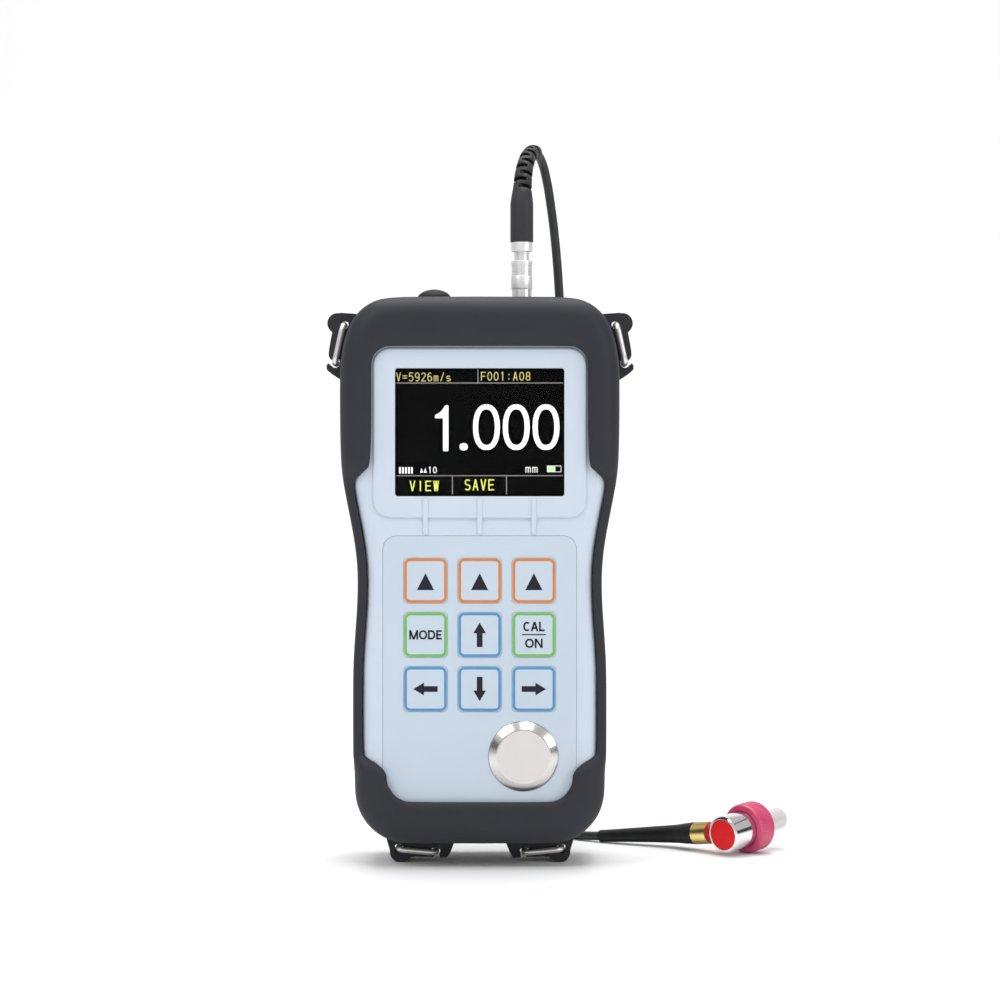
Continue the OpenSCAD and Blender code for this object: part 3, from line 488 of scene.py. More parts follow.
def finish_of(name, dark, light, rough, grain=3000.0, bump=0.1, depth=0.05, tone=40.0, metal=0.0,
              turned_at=None, **sockets):
    """A material: tones and roughness between two values each, and a bump from a shared effect."""
    material = bpy.data.materials.new(name)
    material.use_nodes = True
    nodes, link = material.node_tree.nodes, material.node_tree.links.new
    shader = nodes["Principled BSDF"]
    kinds = ("TexCoord", "Mapping", "Group")
    where, mapping, pattern = (nodes.new("ShaderNode" + kind) for kind in kinds)
    link(where.outputs["Object"], mapping.inputs["Vector"])
    if turned_at is None:
        pattern.node_tree = EFFECTS["grain"]
        put(pattern, Grain_scale=grain, Tone_scale=tone)
        fine = pattern.outputs["Grain"]
    else:
        mapping.vector_type = "TEXTURE"
        put(mapping, Location=turned_at.to_translation(), Rotation=turned_at.to_euler())
        pattern.node_tree = EFFECTS["lines"]
        put(pattern, Line_scale=grain)
        fine = pattern.outputs["Lines"]
    link(mapping.outputs["Vector"], pattern.inputs["Vector"])
    mix = nodes.new("ShaderNodeMix")
    mix.data_type = "RGBA"
    put(mix, A=(*dark, 1), B=(*light, 1))
    link(pattern.outputs["Tone"], mix.inputs["Factor"])
    link(mix.outputs["Result"], shader.inputs["Base Color"])
    span = nodes.new("ShaderNodeMapRange")
    put(span, To_Min=rough[0], To_Max=rough[1])
    link(fine, span.inputs["Value"])
    link(span.outputs["Result"], shader.inputs["Roughness"])
    relief = nodes.new("ShaderNodeBump")
    put(relief, Strength=bump, Distance=depth * MM)
    link(fine, relief.inputs["Height"])
    link(relief.outputs["Normal"], shader.inputs["Normal"])
    put(shader, Metallic=metal, **sockets)
    FINISHES[name] = material
    return material


def painted_shade_in_slots(material):
    """Paints shade into the faces that a piece marks as slots: nearly black and without shine."""
    nodes, link = material.node_tree.nodes, material.node_tree.links.new
    colour, rough = (nodes["Principled BSDF"].inputs[k] for k in ("Base Color", "Roughness"))
    mark, mix = nodes.new("ShaderNodeAttribute"), nodes.new("ShaderNodeMix")
    mark.attribute_name = "slot"
    mix.data_type = "RGBA"
    # The nearly black colour is painted shade in the slots' recesses, not the rubber's own colour
    put(mix, B=(0.001, 0.001, 0.0013, 1))
    link(mark.outputs["Fac"], mix.inputs["Factor"])
    link(colour.links[0].from_socket, mix.inputs["A"])
    link(mix.outputs["Result"], colour)
    duller = nodes.new("ShaderNodeMath")
    duller.operation = "MAXIMUM"
    link(mark.outputs["Fac"], duller.inputs[0])
    link(rough.links[0].from_socket, duller.inputs[1])
    link(duller.outputs["Value"], rough)


def lit(name, colour, strength):
    """A lit part of the display."""
    dark, light = (tuple(share * c for c in colour) for share in (0.4, 0.45))
    finish_of(name, dark, light, (0.5, 0.6), grain=4000, bump=0.02, Emission_Color=(*colour, 1),
              Emission_Strength=strength)


def make_finishes(colours):
    """Every finish of the gauge."""
    EFFECTS["grain"], EFFECTS["lines"] = moulded_grain(), turned_lines()

    def pair(c, low, high):
        return tuple(low * v for v in c), tuple(high * v for v in c)

    finish_of("Boot rubber", *pair(colours.boot, 0.88, 1.1), (0.46, 0.62), grain=2600, bump=0.22,
              depth=0.06, tone=28, Specular_IOR_Level=0.3)
    finish_of("Housing plastic", *pair(colours.case, 0.97, 1.02), (0.36, 0.46), grain=3200,
              bump=0.07, tone=18, Coat_Weight=0.08, Coat_Roughness=0.3)
    finish_of("Keypad film", *pair(colours.film, 0.97, 1.02), (0.4, 0.5), grain=4200, bump=0.08,
              tone=22)
    for key in ("orange", "green", "blue"):
        finish_of("Frame ink " + key, *pair(getattr(colours, key), 0.94, 1.05), (0.42, 0.52),
                  grain=4200, bump=0.05, tone=300)
    finish_of("Sign ink", *pair(colours.ink, 0.9, 1.15), (0.5, 0.6), grain=4200, bump=0.05,
              tone=300, Specular_IOR_Level=0.25)
    finish_of("Display dark", (0.0012, 0.0012, 0.0015), (0.0018, 0.0018, 0.0022), (0.6, 0.7),
              grain=5000, bump=0.0, Specular_IOR_Level=0.02)
    for name, colour, strength in (
            ("white", (1, 1, 1), 1.0), ("yellow", (0.74, 0.8, 0.12), 0.9),
            ("pale yellow", (0.7, 0.64, 0.22), 0.75), ("grey", (0.5, 0.46, 0.47), 0.42),
            ("green", (0.5, 0.86, 0.4), 0.9)):
        lit("Lit " + name, colour, strength)
    finish_of("Window glass", (0.97, 0.98, 1), (1, 1, 1), (0.02, 0.04), grain=60, bump=0.0,
              IOR=1.12, Specular_IOR_Level=0.1, Transmission_Weight=1)
    finish_of("Cap rubber", (0.004, 0.004, 0.0048), (0.007, 0.007, 0.008), (0.5, 0.62),
              bump=0.12, tone=90, Specular_IOR_Level=0.25)
    # The relief's rubber, with painted shade in its slots
    painted_shade_in_slots(finish_of("Relief rubber", (0.026, 0.026, 0.029), (0.038, 0.038, 0.041),
                         (0.42, 0.55), grain=2600, bump=0.16, tone=80, Specular_IOR_Level=0.22))
    finish_of("Lead rubber", (0.004, 0.0055, 0.005), (0.007, 0.009, 0.008), (0.45, 0.58),
              grain=2600, bump=0.16, tone=80, Specular_IOR_Level=0.25)
    finish_of("Cable jacket", (0.011, 0.0125, 0.0125), (0.019, 0.021, 0.021), (0.4, 0.55),
              grain=1800, bump=0.12, tone=60)
    finish_of("Seal rubber", (0.012, 0.012, 0.014), (0.02, 0.02, 0.023), (0.55, 0.7), grain=2500,
              bump=0.15)
    finish_of("Screw steel", (0.42, 0.42, 0.43), (0.52, 0.52, 0.53), (0.28, 0.42), grain=2200,
              bump=0.06, tone=300, metal=1)
    finish_of("Ring wire", (0.74, 0.72, 0.7), (0.84, 0.82, 0.8), (0.3, 0.4), grain=1400,
              bump=0.02, tone=200, metal=0.85)
    finish_of("Plug nickel", (0.84, 0.84, 0.845), (0.93, 0.93, 0.93), (0.3, 0.42), grain=420,
              bump=0.02, metal=0.8, turned_at=upright(PLUG_X, 0, 175))
    disc = facing(DISC_X, KEY_FACE_Y, DISC_Z)
    finish_of("Disc steel", (0.6, 0.59, 0.57), (0.68, 0.67, 0.65), (0.16, 0.26), grain=520,
              bump=0.02, metal=1, turned_at=disc)
    finish_of("Disc face", (0.67, 0.64, 0.62), (0.7, 0.67, 0.65), (0.42, 0.5), grain=700,
              bump=0.03, metal=0.5, turned_at=disc)
    finish_of("Probe chrome", (0.72, 0.72, 0.73), (0.8, 0.8, 0.81), (0.06, 0.12), grain=300,
              bump=0.01, metal=1, turned_at=NOSE)
    finish_of("Connector brass", (0.86, 0.63, 0.21), (0.95, 0.76, 0.34), (0.18, 0.32), grain=300,
              bump=0.02, metal=1, turned_at=SIDE)
    finish_of("Washer red", (0.34, 0.012, 0.008), (0.44, 0.018, 0.012), (0.4, 0.52), bump=0.06,
              tone=400, Specular_IOR_Level=0.25)
    finish_of("Label red", (0.6, 0.006, 0.009), (0.68, 0.009, 0.012), (0.3, 0.4), grain=4200,
              bump=0.04, tone=250, Specular_IOR_Level=0.2)
    finish_of("Ring magenta", (0.47, 0.034, 0.115), (0.6, 0.055, 0.16), (0.3, 0.45), grain=2400,
              bump=0.08, tone=260, Coat_Weight=0.15, Coat_Roughness=0.25)
    finish_of("Tip acrylic", (0.5, 0.5, 0.495), (0.58, 0.58, 0.57), (0.2, 0.3), grain=1500,
              bump=0.03, tone=160, Subsurface_Weight=0.3, Subsurface_Scale=0.002)
    finish_of("Board green", (0.02, 0.1, 0.05), (0.03, 0.16, 0.08), (0.35, 0.5), grain=1500,
              tone=300)
    finish_of("Cell sleeve", (0.16, 0.17, 0.19), (0.22, 0.23, 0.25), (0.3, 0.45), grain=2000,
              bump=0.05, tone=100)


# Solids that stay in view or inside, by their finish
FINISH_OF_NODE = {
    "Housing plastic": ["battery_door"],
    "Seal rubber": ["case_gasket"],
    "Screw steel": ["case_screws", "door_screws", "disc_nut", "socket_nut", "dome_sheet"],
    "Display dark": ["display_module"],
    "Keypad film": ["keypad_film"],
    "Board green": ["main_board"],
    "Cell sleeve": ["battery_cells"],
    "Plug nickel": ["probe_socket", "plug_core"],
    "Cap rubber": ["data_port", "buzzer", "coil_tie"],
    "Washer red": ["connector_washer"],
    "Label red": ["probe_label"],
}


# Sizes and colours that a user would change

def length(label, about, default, least, most):
    """A length property in metres."""
    return bpy.props.FloatProperty(name=label, description=about, default=default * MM,
                                   min=least * MM, max=most * MM, unit="LENGTH", precision=5)


def tint(label, about, default):
    """A colour property."""
    return bpy.props.FloatVectorProperty(name=label, description=about, default=default,
                                         subtype="COLOR", size=3, min=0, max=1)


class GaugeSizes(bpy.types.PropertyGroup):
    """Sizes of the printed and small pieces"""

    frame_line: length("Frame line", "Width of the coloured line round each key", 0.8, 0.4, 1.5)
    frame_corner: length("Frame corner", "Corner radius of the coloured frames", 1.75, 0.6, 2)
    key_edge: length("Key edge", "Rounding of the keys' front edges", 0.12, 0.05, 0.25)
    digit_height: length("Digit height", "Height of the reading on the display", 13.6, 8, 16)
    cable: length("Cable", "Diameter of the probe cable", 2.8, 2.6, 3)


class GaugeColours(bpy.types.PropertyGroup):
    """Colours of the main surfaces"""

    boot: tint("Boot", "Rubber of the boot", (0.019, 0.0205, 0.0265))
    case: tint("Case", "Plastic of the case", (0.535, 0.608, 0.7))
    film: tint("Film", "Film of the keypad", (0.5, 0.578, 0.664))
    orange: tint("Orange frames", "Frames of the upper keys", (0.62, 0.185, 0.034))
    green: tint("Green frames", "Frames of the two worded keys", (0.135, 0.43, 0.08))
    blue: tint("Blue frames", "Frames of the arrow keys", (0.068, 0.25, 0.5))
    ink: tint("Signs", "Signs and words on the keys", (0.011, 0.0105, 0.019))


class GaugeStage(bpy.types.PropertyGroup):
    """Camera and light"""

    lens: bpy.props.FloatProperty(name="Lens", description="Focal length of the camera",
                                  default=85.43, min=50, max=135, unit="CAMERA")
    key_light: bpy.props.FloatProperty(name="Key light", description="Strength of the large light",
                                       default=6.5, min=0, max=200, unit="POWER")
    sky: bpy.props.FloatProperty(name="Sky", description="Strength of the light from all round",
                                 default=0.6, min=0, max=3)


# The stage in metres
CAMERA_AT = (-0.0178, -0.7185, 0.109)
FLOOR, WALL, SWEEP = 4, 3, 0.9
MIDDLE = (0, 0, 0.09)

# Lights: name, place, aim, size and share of the key light's strength
LIGHTS = (
    ("key_light", (-0.72, -0.7, 0.95), MIDDLE, 0.4, 0.6),
    ("fill_light", (1.02, -0.68, 0.5), MIDDLE, 0.35, 0.42),
    ("front_light", (0.14, -0.68, 1.15), MIDDLE, 0.35, 0.45),
    ("top_light", (0, 0.15, 1.25), (0, 0.02, 0.1), 0.9, 1.05),
    ("backdrop_light", (0, 0.7, 1.7), (0, 1.7, 0.3), 1.4, 2.2),
)

# Dark cards that show only as reflections: name, place, and size in millimetres
FLAGS = (
    ("flag_right", (1.0, -0.15, 0.18), (1300, 220)),
    ("flag_left", (-1.0, -0.6, 0.32), (400, 300)),
    ("flag_high", (0.8, 0.55, 0.78), (1200, 100)),
)


# Operators, one for each piece or group of like pieces

class GAUGE_OT_stage(bpy.types.Operator):
    """Adds the camera, the floor and the lights"""

    bl_idname = "gauge.stage"
    bl_label = "Stage"

    def execute(self, context):
        scene, stage = context.scene, context.scene.gauge_stage
        lens = bpy.data.cameras.new("camera")
        lens.lens, lens.sensor_width, lens.clip_start = stage.lens, 36, 0.02
        camera = bpy.data.objects.new("camera", lens)
        camera.location = CAMERA_AT
        camera.rotation_euler = (math.radians(90), 0, 0)
        scene.collection.objects.link(camera)
        scene.camera = camera
        scene.view_settings.view_transform = "Standard"
        clear()
        bpy.ops.mesh.primitive_plane_add(size=FLOOR, enter_editmode=True)
        floor = context.object
        pick(floor, "EDGE", lambda e: all(v.co.y > 0 for v in e.verts))
        draw_out(WALL)
        pick(floor, "EDGE", lambda e: all(v.co.y > 0 and v.co.z < 0.1 for v in e.verts))
        bpy.ops.mesh.bevel(offset=SWEEP, segments=16, affect="EDGES")
        bpy.ops.object.mode_set(mode="OBJECT")
        shade(floor, 60)
        floor.name = "floor"
        floor.data.materials.append(finish_of("Studio paper", (0.86,) * 3, (0.88,) * 3,
                                              (0.85, 0.95), grain=600, bump=0.02, tone=2))
        for name, place, aim, size, share in LIGHTS:
            lamp = bpy.data.lights.new(name, "AREA")
            lamp.shape, lamp.size, lamp.energy = "SQUARE", size, stage.key_light * share
            obj = bpy.data.objects.new(name, lamp)
            obj.location = place
            obj.rotation_euler = (Vector(aim) - Vector(place)).to_track_quat("-Z", "Y").to_euler()
            scene.collection.objects.link(obj)
        upended = Matrix.Rotation(math.radians(90), 4, "Z") @ TIPPED
        for name, place, size in FLAGS:
            flag = sheet(*size)
            bpy.ops.object.mode_set(mode="OBJECT")
            settle(flag, Matrix.Translation(place) @ upended)
            flag.name = name
            flag.data.materials.append(FINISHES["Seal rubber"])
            flag.visible_camera = flag.visible_diffuse = flag.visible_shadow = False
        world = bpy.data.worlds.new("studio")
        world.use_nodes = True
        put(world.node_tree.nodes["Background"], Color=(1, 1, 1, 1), Strength=stage.sky)
        scene.world = world
        return {"FINISHED"}


class GAUGE_OT_cable(bpy.types.Operator):
    """Adds the probe cable: over the back, round its coil and out to the probe"""

    bl_idname = "gauge.cable"
    bl_label = "Cable"

    def execute(self, context):
        thick = context.scene.gauge_sizes.cable
        drop = [(PLUG_X + x, y, RELIEF_Z + z) for x, y, z in (
            (3.2, 12.2, 28.75), (4.2, 15, 29.3), (6.2, 20.6, 27.7), (8, 24.6, 22),
            (9.3, 26.6, 14.6), (10.6, 27.4, 4.5), (12, 27.8, -13), (12.5, 27.9, -26),
            (12.8, 28, -40), (13.05, 28, -60), (13.2, 28, -80), (13.25, 28, -100),
            (13.2, 28, -120), (13.1, 28.4, -136), (13, 29, -150), (12.4, 32, -168))]
        drop += [(23.6, 39, 9.5), (22.6, 50, 6.6), (21.4, 61, 5.6), (20.5, 73, 5.4)]
        turns, per_turn, lays, radius, bundle = 6 + 260 / 360, 18, 7, 16.8, 3.25
        coil, (cx, cy, cz) = [], (0, 85, 5.4)
        for i in range(int(turns * per_turn) + 1):
            turn, angle = divmod(i * (360 // per_turn), 360)
            shift = max(0, min(1, (angle - 300) / 60))
            place = math.radians(360 / lays) * (turn + shift * shift * (3 - 2 * shift))
            a, r = math.radians(angle), radius + bundle * math.cos(place)
            coil.append((cx + r * math.cos(a), cy + r * math.sin(a), cz + bundle * math.sin(place)))
        lead = [(1.6, 65.75, 2.55), (7, 64.4, 2.05), (12, 62.1, 1.75), (16.4, 58.8, 1.55),
                (20.4, 55, 1.5), (24, 51, 1.5), (27.5, 46.9, 1.5), (31, 43, 1.5), (34.4, 40, 1.7),
                (38, 37.6, 2), (41.5, 35.7, 2.35)]
        points = [at(*p) for p in drop + coil + lead]
        line = bpy.data.curves.new("cable", "CURVE")
        line.dimensions, line.bevel_depth, line.use_fill_caps = "3D", thick / 2, True
        line.bevel_resolution = line.resolution_u = 5
        spline = line.splines.new("BEZIER")
        spline.bezier_points.add(len(points) - 1)
        for knot, point in zip(spline.bezier_points, points):
            knot.co = point
            knot.handle_left_type = knot.handle_right_type = "AUTO"
        cable = bpy.data.objects.new("cable", line)
        context.scene.collection.objects.link(cable)
        hand_over(cable, "cable", "Cable jacket",
                  stands_for=("cable_drop", "cable_coil", "cable_lead"))
        return {"FINISHED"}


# The boot's outline: from a height to a height, half width at the one and at the other
OUTLINE = ((84.76, 126.6, 36.2, 41.6), (55.75, 84.76, 37.65, 36.2), (0, 55.75, 37.65, 37.65))

# Side rails: lower and upper end, length over which the change fades there, front and wall
RAIL_LOW, RAIL_HIGH, LOW_FADE, HIGH_FADE = 28, 120, 5.4, 6.7
RAIL_FRONT_Y, RAIL_OUTSIDE, RAIL_INSIDE = -12, -0.5, 7.2

# The lower ramp of the boot's front: its upper end, height and depth
RAMP_Z, RAMP_TALL, RAMP_Y = 33.4, 5.2, -15


def half_width(z):
    """The boot's half width at a height, as the solid has it."""
    for low, high, start, end in OUTLINE:
        if z > low:
            share = min(1, (z - low) / (high - low))
            return start + (end - start) * (1 - math.cos(math.pi * share)) / 2
    return OUTLINE[-1][2]


def slim_rails(obj, by, reach):
    """Moves the front inner edge of the side rails outwards, most at a reach from the outside."""
    for v in obj.data.vertices:
        x, y, z = v.co.x / MM + FOOT, v.co.y / MM, v.co.z / MM
        inside = half_width(z) - abs(x)
        if y < RAIL_FRONT_Y and RAIL_LOW < z < RAIL_HIGH and RAIL_OUTSIDE < inside < RAIL_INSIDE:
            ends = min(1, (z - RAIL_LOW) / LOW_FADE, (RAIL_HIGH - z) / HIGH_FADE)
            v.co.x += math.copysign(by * MM * ends * max(0, min(1, inside / reach)), x)


class GAUGE_OT_boot(bpy.types.Operator):
    """Adds the rubber boot with its ears"""

    bl_idname = "gauge.boot"
    bl_label = "Boot"

    def execute(self, context):
        boot = node_copy("rubber_boot", flat=False)
        slim_rails(boot, 0.85, 3.5)
        for v in boot.data.vertices:
            drop = (RAMP_Z - v.co.z / MM) / RAMP_TALL
            if v.co.y < RAMP_Y * MM and 0 < drop < 1:
                turn = math.asin((1 - math.cos(math.pi * drop)) / 2)
                v.co.z = (RAMP_Z - RAMP_TALL * turn * 2 / math.pi) * MM
        with editing(boot):
            whole()
            bpy.ops.mesh.tris_convert_to_quads(face_threshold=math.radians(30),
                                               shape_threshold=math.radians(50))
            pick(boot, "VERT", lambda v: v.co.y < -16 * MM and abs(v.co.x + FOOT * MM) > 24 * MM
                 and (25 * MM < v.co.z < 37 * MM or 110 * MM < v.co.z < 125 * MM))
            bpy.ops.mesh.vertices_smooth(factor=0.5, repeat=1, xaxis=True, yaxis=False, zaxis=True)
            bpy.ops.mesh.select_mode(type="EDGE")
            bpy.ops.mesh.select_all(action="DESELECT")
            bpy.ops.mesh.edges_select_sharp(sharpness=math.radians(33))
            bpy.ops.transform.edge_crease(value=1)
        take(boot)
        bpy.ops.object.modifier_add(type="SUBSURF")
        smooth = boot.modifiers[-1]
        smooth.levels = smooth.render_levels = 1
        bpy.ops.object.modifier_apply(modifier=smooth.name)
        shade(boot, 33)
        hand_over(boot, "boot", "Boot rubber", stands_for=("rubber_boot",))
        return {"FINISHED"}


class GAUGE_OT_case(bpy.types.Operator):
    """Adds the front and the back of the case"""

    bl_idname = "gauge.case"
    bl_label = "Case"

    def execute(self, context):
        def raised(e):
            return (len(e.link_faces) == 2 and e.is_convex and e.calc_face_angle() > 0.9
                    and all(v.co.y < PANEL_Y * MM for v in e.verts))

        def aside(v, x):
            return abs(v.co.x + (FOOT - x) * MM)

        front = node_copy("front_case", angle=30)
        slim_rails(front, 0.8, 0.1)
        with editing(front):
            pick(front, "EDGE", lambda e: raised(e)
                 and max(aside(v, 0) for v in e.verts) > 25.6 * MM)
            bpy.ops.mesh.bevel(offset=0.7 * MM, segments=4, affect="EDGES")
            ribs = (-KEY_PITCH, 0, KEY_PITCH)
            pick(front, "EDGE", lambda e: raised(e) and all(
                min(aside(v, x) for x in ribs) < 0.85 * MM for v in e.verts))
            bpy.ops.mesh.bevel(offset=0.35 * MM, segments=3, affect="EDGES")
        hand_over(front, "case_front", "Housing plastic", stands_for=("front_case",))
        back = node_copy("rear_case", angle=30)
        hand_over(back, "case_back", "Housing plastic", stands_for=("rear_case",))
        return {"FINISHED"}


class GAUGE_OT_display(bpy.types.Operator):
    """Adds the window and the lit picture of the display"""

    bl_idname = "gauge.display"
    bl_label = "Display"

    def execute(self, context):
        glass = slab(49.8, 37.6, 0.7, 1.3, edge=0.12)
        settle(glass, facing(0, WINDOW_Y, WINDOW_Z))
        shade(glass, 30)
        hand_over(glass, "window", "Window glass", stands_for=("display_window",))

        def shown(part, x, z):
            settle(part, facing(x, PICTURE_Y, z))
            return part

        tall = context.scene.gauge_sizes.digit_height / MM
        white = [shown(words("0", 7.95, tall, 1.5), x, 130.55) for x in (2.0, 10.8, 19.6)]
        one = cut_out([(0.8, 6.7), (0.8, -6.5), (0.55, -6.75), (-0.55, -6.75), (-0.8, -6.5),
                       (-0.8, 3.0), (-3.0, 3.0), (-3.2, 3.25), (-3.1, 3.9), (-1.7, 4.7),
                       (-0.8, 5.7), (-0.3, 6.6), (0, 6.8), (0.6, 6.8)])
        white += [shown(one, -10.05, 130.2), shown(slab(2.4, 2.1, 0.95, INK), -4.75, 124.75)]
        white += [shown(slab(0.5, 1.9, 0, INK), -23.6 + 0.88 * i, 117.8) for i in range(5)]
        white += [shown(cut_out([(-0.45, -0.5), (0.45, -0.5), (0, 0.9)]), x, 117.6)
                  for x in (-17.2, -16.1)]
        white += [shown(words("10", 2.6, 1.9, 0.2, True), -14, 117.9),
                  shown(words("mm", 3.5, 2.5, 0.2, True), 15.3, 118.35),
                  shown(hoop(4.2, 1.9, 0.15, 0.14), 22.0, 118.2)]
        hand_over(joined(white), "display_reading", "Lit white")
        yellow = [shown(words("VIEW", 8.7, 3.1, 0.36, True), -16.4, 113.2),
                  shown(words("SAVE", 8.7, 3.3, 0.36, True), -0.1, 113.5)]
        hand_over(joined(yellow), "display_words", "Lit yellow")
        pale = [shown(words("V=5926m/s", 16.1, 2.6, 0.24, True), -16.6, 145.4),
                shown(words("F001:A08", 14.6, 2.6, 0.24, True), 7.7, 145.6)]
        hand_over(joined(pale), "display_header", "Lit pale yellow")
        grey = [shown(slab(w, h, 0, HAIR), x, z) for w, h, x, z in (
            (49.2, 0.22, 0, 143.6), (0.22, 3.9, -0.5, 145.6), (49.2, 0.22, 0, 116.2),
            (0.22, 5.4, -8.1, 113.4), (0.22, 5.4, 7.9, 113.4))]
        hand_over(joined(grey), "display_lines", "Lit grey")
        hand_over(shown(slab(2.4, 1.55, 0, HAIR), 21.15, 118.2), "display_battery", "Lit green")
        return {"FINISHED"}


class GAUGE_OT_keys(bpy.types.Operator):
    """Adds the nine keys with their coloured frames, signs and words"""

    bl_idname = "gauge.keys"
    bl_label = "Keys"

    def sign(self, node):
        """The sign or words of a key, round its own middle."""
        pen = 0.54
        if node.startswith("key_soft"):
            return [cut_out([(-2.55, -2.5), (2.55, -2.5), (0, 2.5)])]
        if node == "key_mode":
            return [words("MODE", 9.6, 2.75, pen)]
        if node == "key_on":
            parts = [words("CAL", 6.3, 2.8, pen), slab(7.1, 0.34, 0, INK),
                     words("ON", 5.2, 2.75, pen)]
            for part, z in zip(parts, (2.45, 0.05, -2.5)):
                settle(part, Matrix.Translation((0, z * MM, 0)))
            return parts
        arrow = cut_out([(0, 3.6), (-1.9, 0.45), (-0.85, 0.45), (-0.85, -3.6), (0.85, -3.6),
                         (0.85, 0.45), (1.9, 0.45)])
        turn = {"key_up": 0, "key_left": 90, "key_down": 180, "key_right": -90}[node]
        settle(arrow, Matrix.Rotation(math.radians(turn), 4, "Z"))
        return [arrow]

    def execute(self, context):
        sizes = context.scene.gauge_sizes
        for node, (column, row, colour) in KEYS.items():
            x, z = KEY_PITCH * column, KEY_ROW_Z + KEY_PITCH * row
            body, slot = node + "_body", "key_" + colour
            key = slab(12.84, 13.24, 1.37, 2.6, edge=sizes.key_edge / MM)
            settle(key, facing(x, KEY_BACK_Y, z))
            shade(key, 35)
            hand_over(key, node + "_cap", "Keypad film", body, (node,))
            outline = hoop(12.6, 13.1, sizes.frame_corner / MM, sizes.frame_line / MM)
            settle(outline, facing(x, KEY_FACE_Y, z))
            hand_over(outline, node + "_frame", "Frame ink " + colour, body)
            mark = joined(self.sign(node))
            settle(mark, facing(x, KEY_FACE_Y, z - (0.3 if row == 1 else 0)))
            hand_over(mark, node + "_sign", "Sign ink", body)
        return {"FINISHED"}


class GAUGE_OT_zero_disc(bpy.types.Operator):
    """Adds the turned zero disc"""

    bl_idname = "gauge.zero_disc"
    bl_label = "Zero disc"

    def execute(self, context):
        place = facing(DISC_X, DISC_Y, DISC_Z)
        disc = turned([(4, -7), (4, 0.02), (10.28, 0.02), (10.3, 0.52), (10.22, 0.66),
                       (8.12, 2.02), (8, 2.08), (7.7, 2.1), (3.0, 2.1)], sides=96, angle=25)
        settle(disc, place)
        hand_over(disc, "zero_disc_turned", "Disc steel", stands_for=("zero_disc",))
        face = turned([(7.6, 2.05), (7.72, 2.1), (7.7, 2.12), (3.0, 2.13)], sides=96, angle=25)
        settle(face, place)
        hand_over(face, "zero_disc_face", "Disc face")
        return {"FINISHED"}


class GAUGE_OT_ports(bpy.types.Operator):
    """Adds the cap over the data port"""

    bl_idname = "gauge.ports"
    bl_label = "Port cap"

    def execute(self, context):
        cap = turned([(2.92, -7), (2.92, 0.05), (5.3, 0.06), (5.3, 3.9), (5.2, 4.2), (4.95, 4.75),
                      (4.3, 5.45), (3.4, 6.05), (2.2, 6.5), (1.0, 6.72)], angle=40)
        settle(cap, upright(CAP_X, 0, CAP_Z))
        hand_over(cap, "port_cap_dome", "Cap rubber", "port_cap_body", ("port_cap",))
        return {"FINISHED"}


class GAUGE_OT_plug(bpy.types.Operator):
    """Adds the plug's sleeve, collet nut and slotted relief"""

    bl_idname = "gauge.plug"
    bl_label = "Plug"

    def execute(self, context):
        sleeve = turned([(2.9, 0), (3.05, 0.12), (3.05, 4.9), (3.24, 4.98), (3.28, 5.1),
                         (3.28, 8.8), (3.24, 8.92), (3.14, 8.98), (3.14, 10.0), (3.08, 10.06),
                         (3.08, 10.2), (3.16, 10.26), (3.16, 12.1), (3.28, 12.18), (3.3, 12.3),
                         (3.3, 13.35), (3.1, 13.55), (2.38, 13.55), (2.38, 0), (2.9, 0)],
                        bored=True, angle=25)
        settle(sleeve, upright(PLUG_X, 0, SLEEVE_Z))
        hand_over(sleeve, "release_sleeve_turned", "Plug nickel", "release_sleeve_body",
                  ("release_sleeve",))
        nut = turned([(3.05, 0), (3.3, 0.22), (3.3, 2.95), (3.1, 3.2), (1.66, 3.2), (1.66, 2.8),
                      (2.32, 2.8), (2.32, 0), (3.05, 0)], bored=True, angle=25)
        settle(nut, upright(PLUG_X, 0, NUT_Z))
        hand_over(nut, "collet_nut_turned", "Plug nickel", stands_for=("collet_nut",))
        relief = node_copy("plug_relief", angle=28)
        # Marks the slot faces, which the relief's finish paints nearly black as shade
        bpy.ops.geometry.attribute_add(name="slot", domain="FACE", data_type="FLOAT")
        with editing(relief):
            if not pick(relief, "FACE", lambda f: any(
                    not e.is_convex and e.calc_face_angle(0) > 0.5 for e in f.edges)):
                raise RuntimeError("The relief's slots were not found")
            bpy.ops.mesh.attribute_set(value_float=1)
        hand_over(relief, "plug_relief_slotted", "Relief rubber",
                  stands_for=("plug_relief",))
        return {"FINISHED"}


class GAUGE_OT_strap_rings(bpy.types.Operator):
    """Adds the four wire strap rings"""

    bl_idname = "gauge.strap_rings"
    bl_label = "Strap rings"

    def execute(self, context):
        deep, shift, corner, wire = 15.25, 2.375, 2, 0.95
        eyes = {"upper": ((41.1, 161.8), (43.6, 150.3)), "lower": ((24.5, 4), (13.4, 3))}
        for level, ((x0, z0), (x1, z1)) in eyes.items():
            for side, way in (("left", -1), ("right", 1)):
                run = Vector((way * (x1 - x0), 0, z1 - z0))
                ring = sheet(run.length, deep)
                bpy.ops.transform.translate(value=(run.length / 2 * MM, shift * MM, 0))
                bpy.ops.mesh.bevel(offset=corner * MM, segments=8, affect="VERTICES")
                whole()
                bpy.ops.mesh.delete(type="ONLY_FACE")
                bpy.ops.object.mode_set(mode="OBJECT")
                take(ring)
                bpy.ops.object.convert(target="CURVE")
                ring = context.object
                ring.data.bevel_depth, ring.data.bevel_resolution = wire * MM, 5
                bpy.ops.object.convert(target="MESH")
                ring = context.object
                settle(ring, Matrix.Translation(at(way * x0, 0, z0))
                       @ Matrix.Rotation(-math.atan2(run.z, run.x), 4, "Y") @ ring.matrix_world)
                tidy_mesh(ring)
                shade(ring, 60)
                node = "ring_" + level + "_" + side
                hand_over(ring, node + "_wire", "Ring wire", node + "_body", (node,))
        return {"FINISHED"}


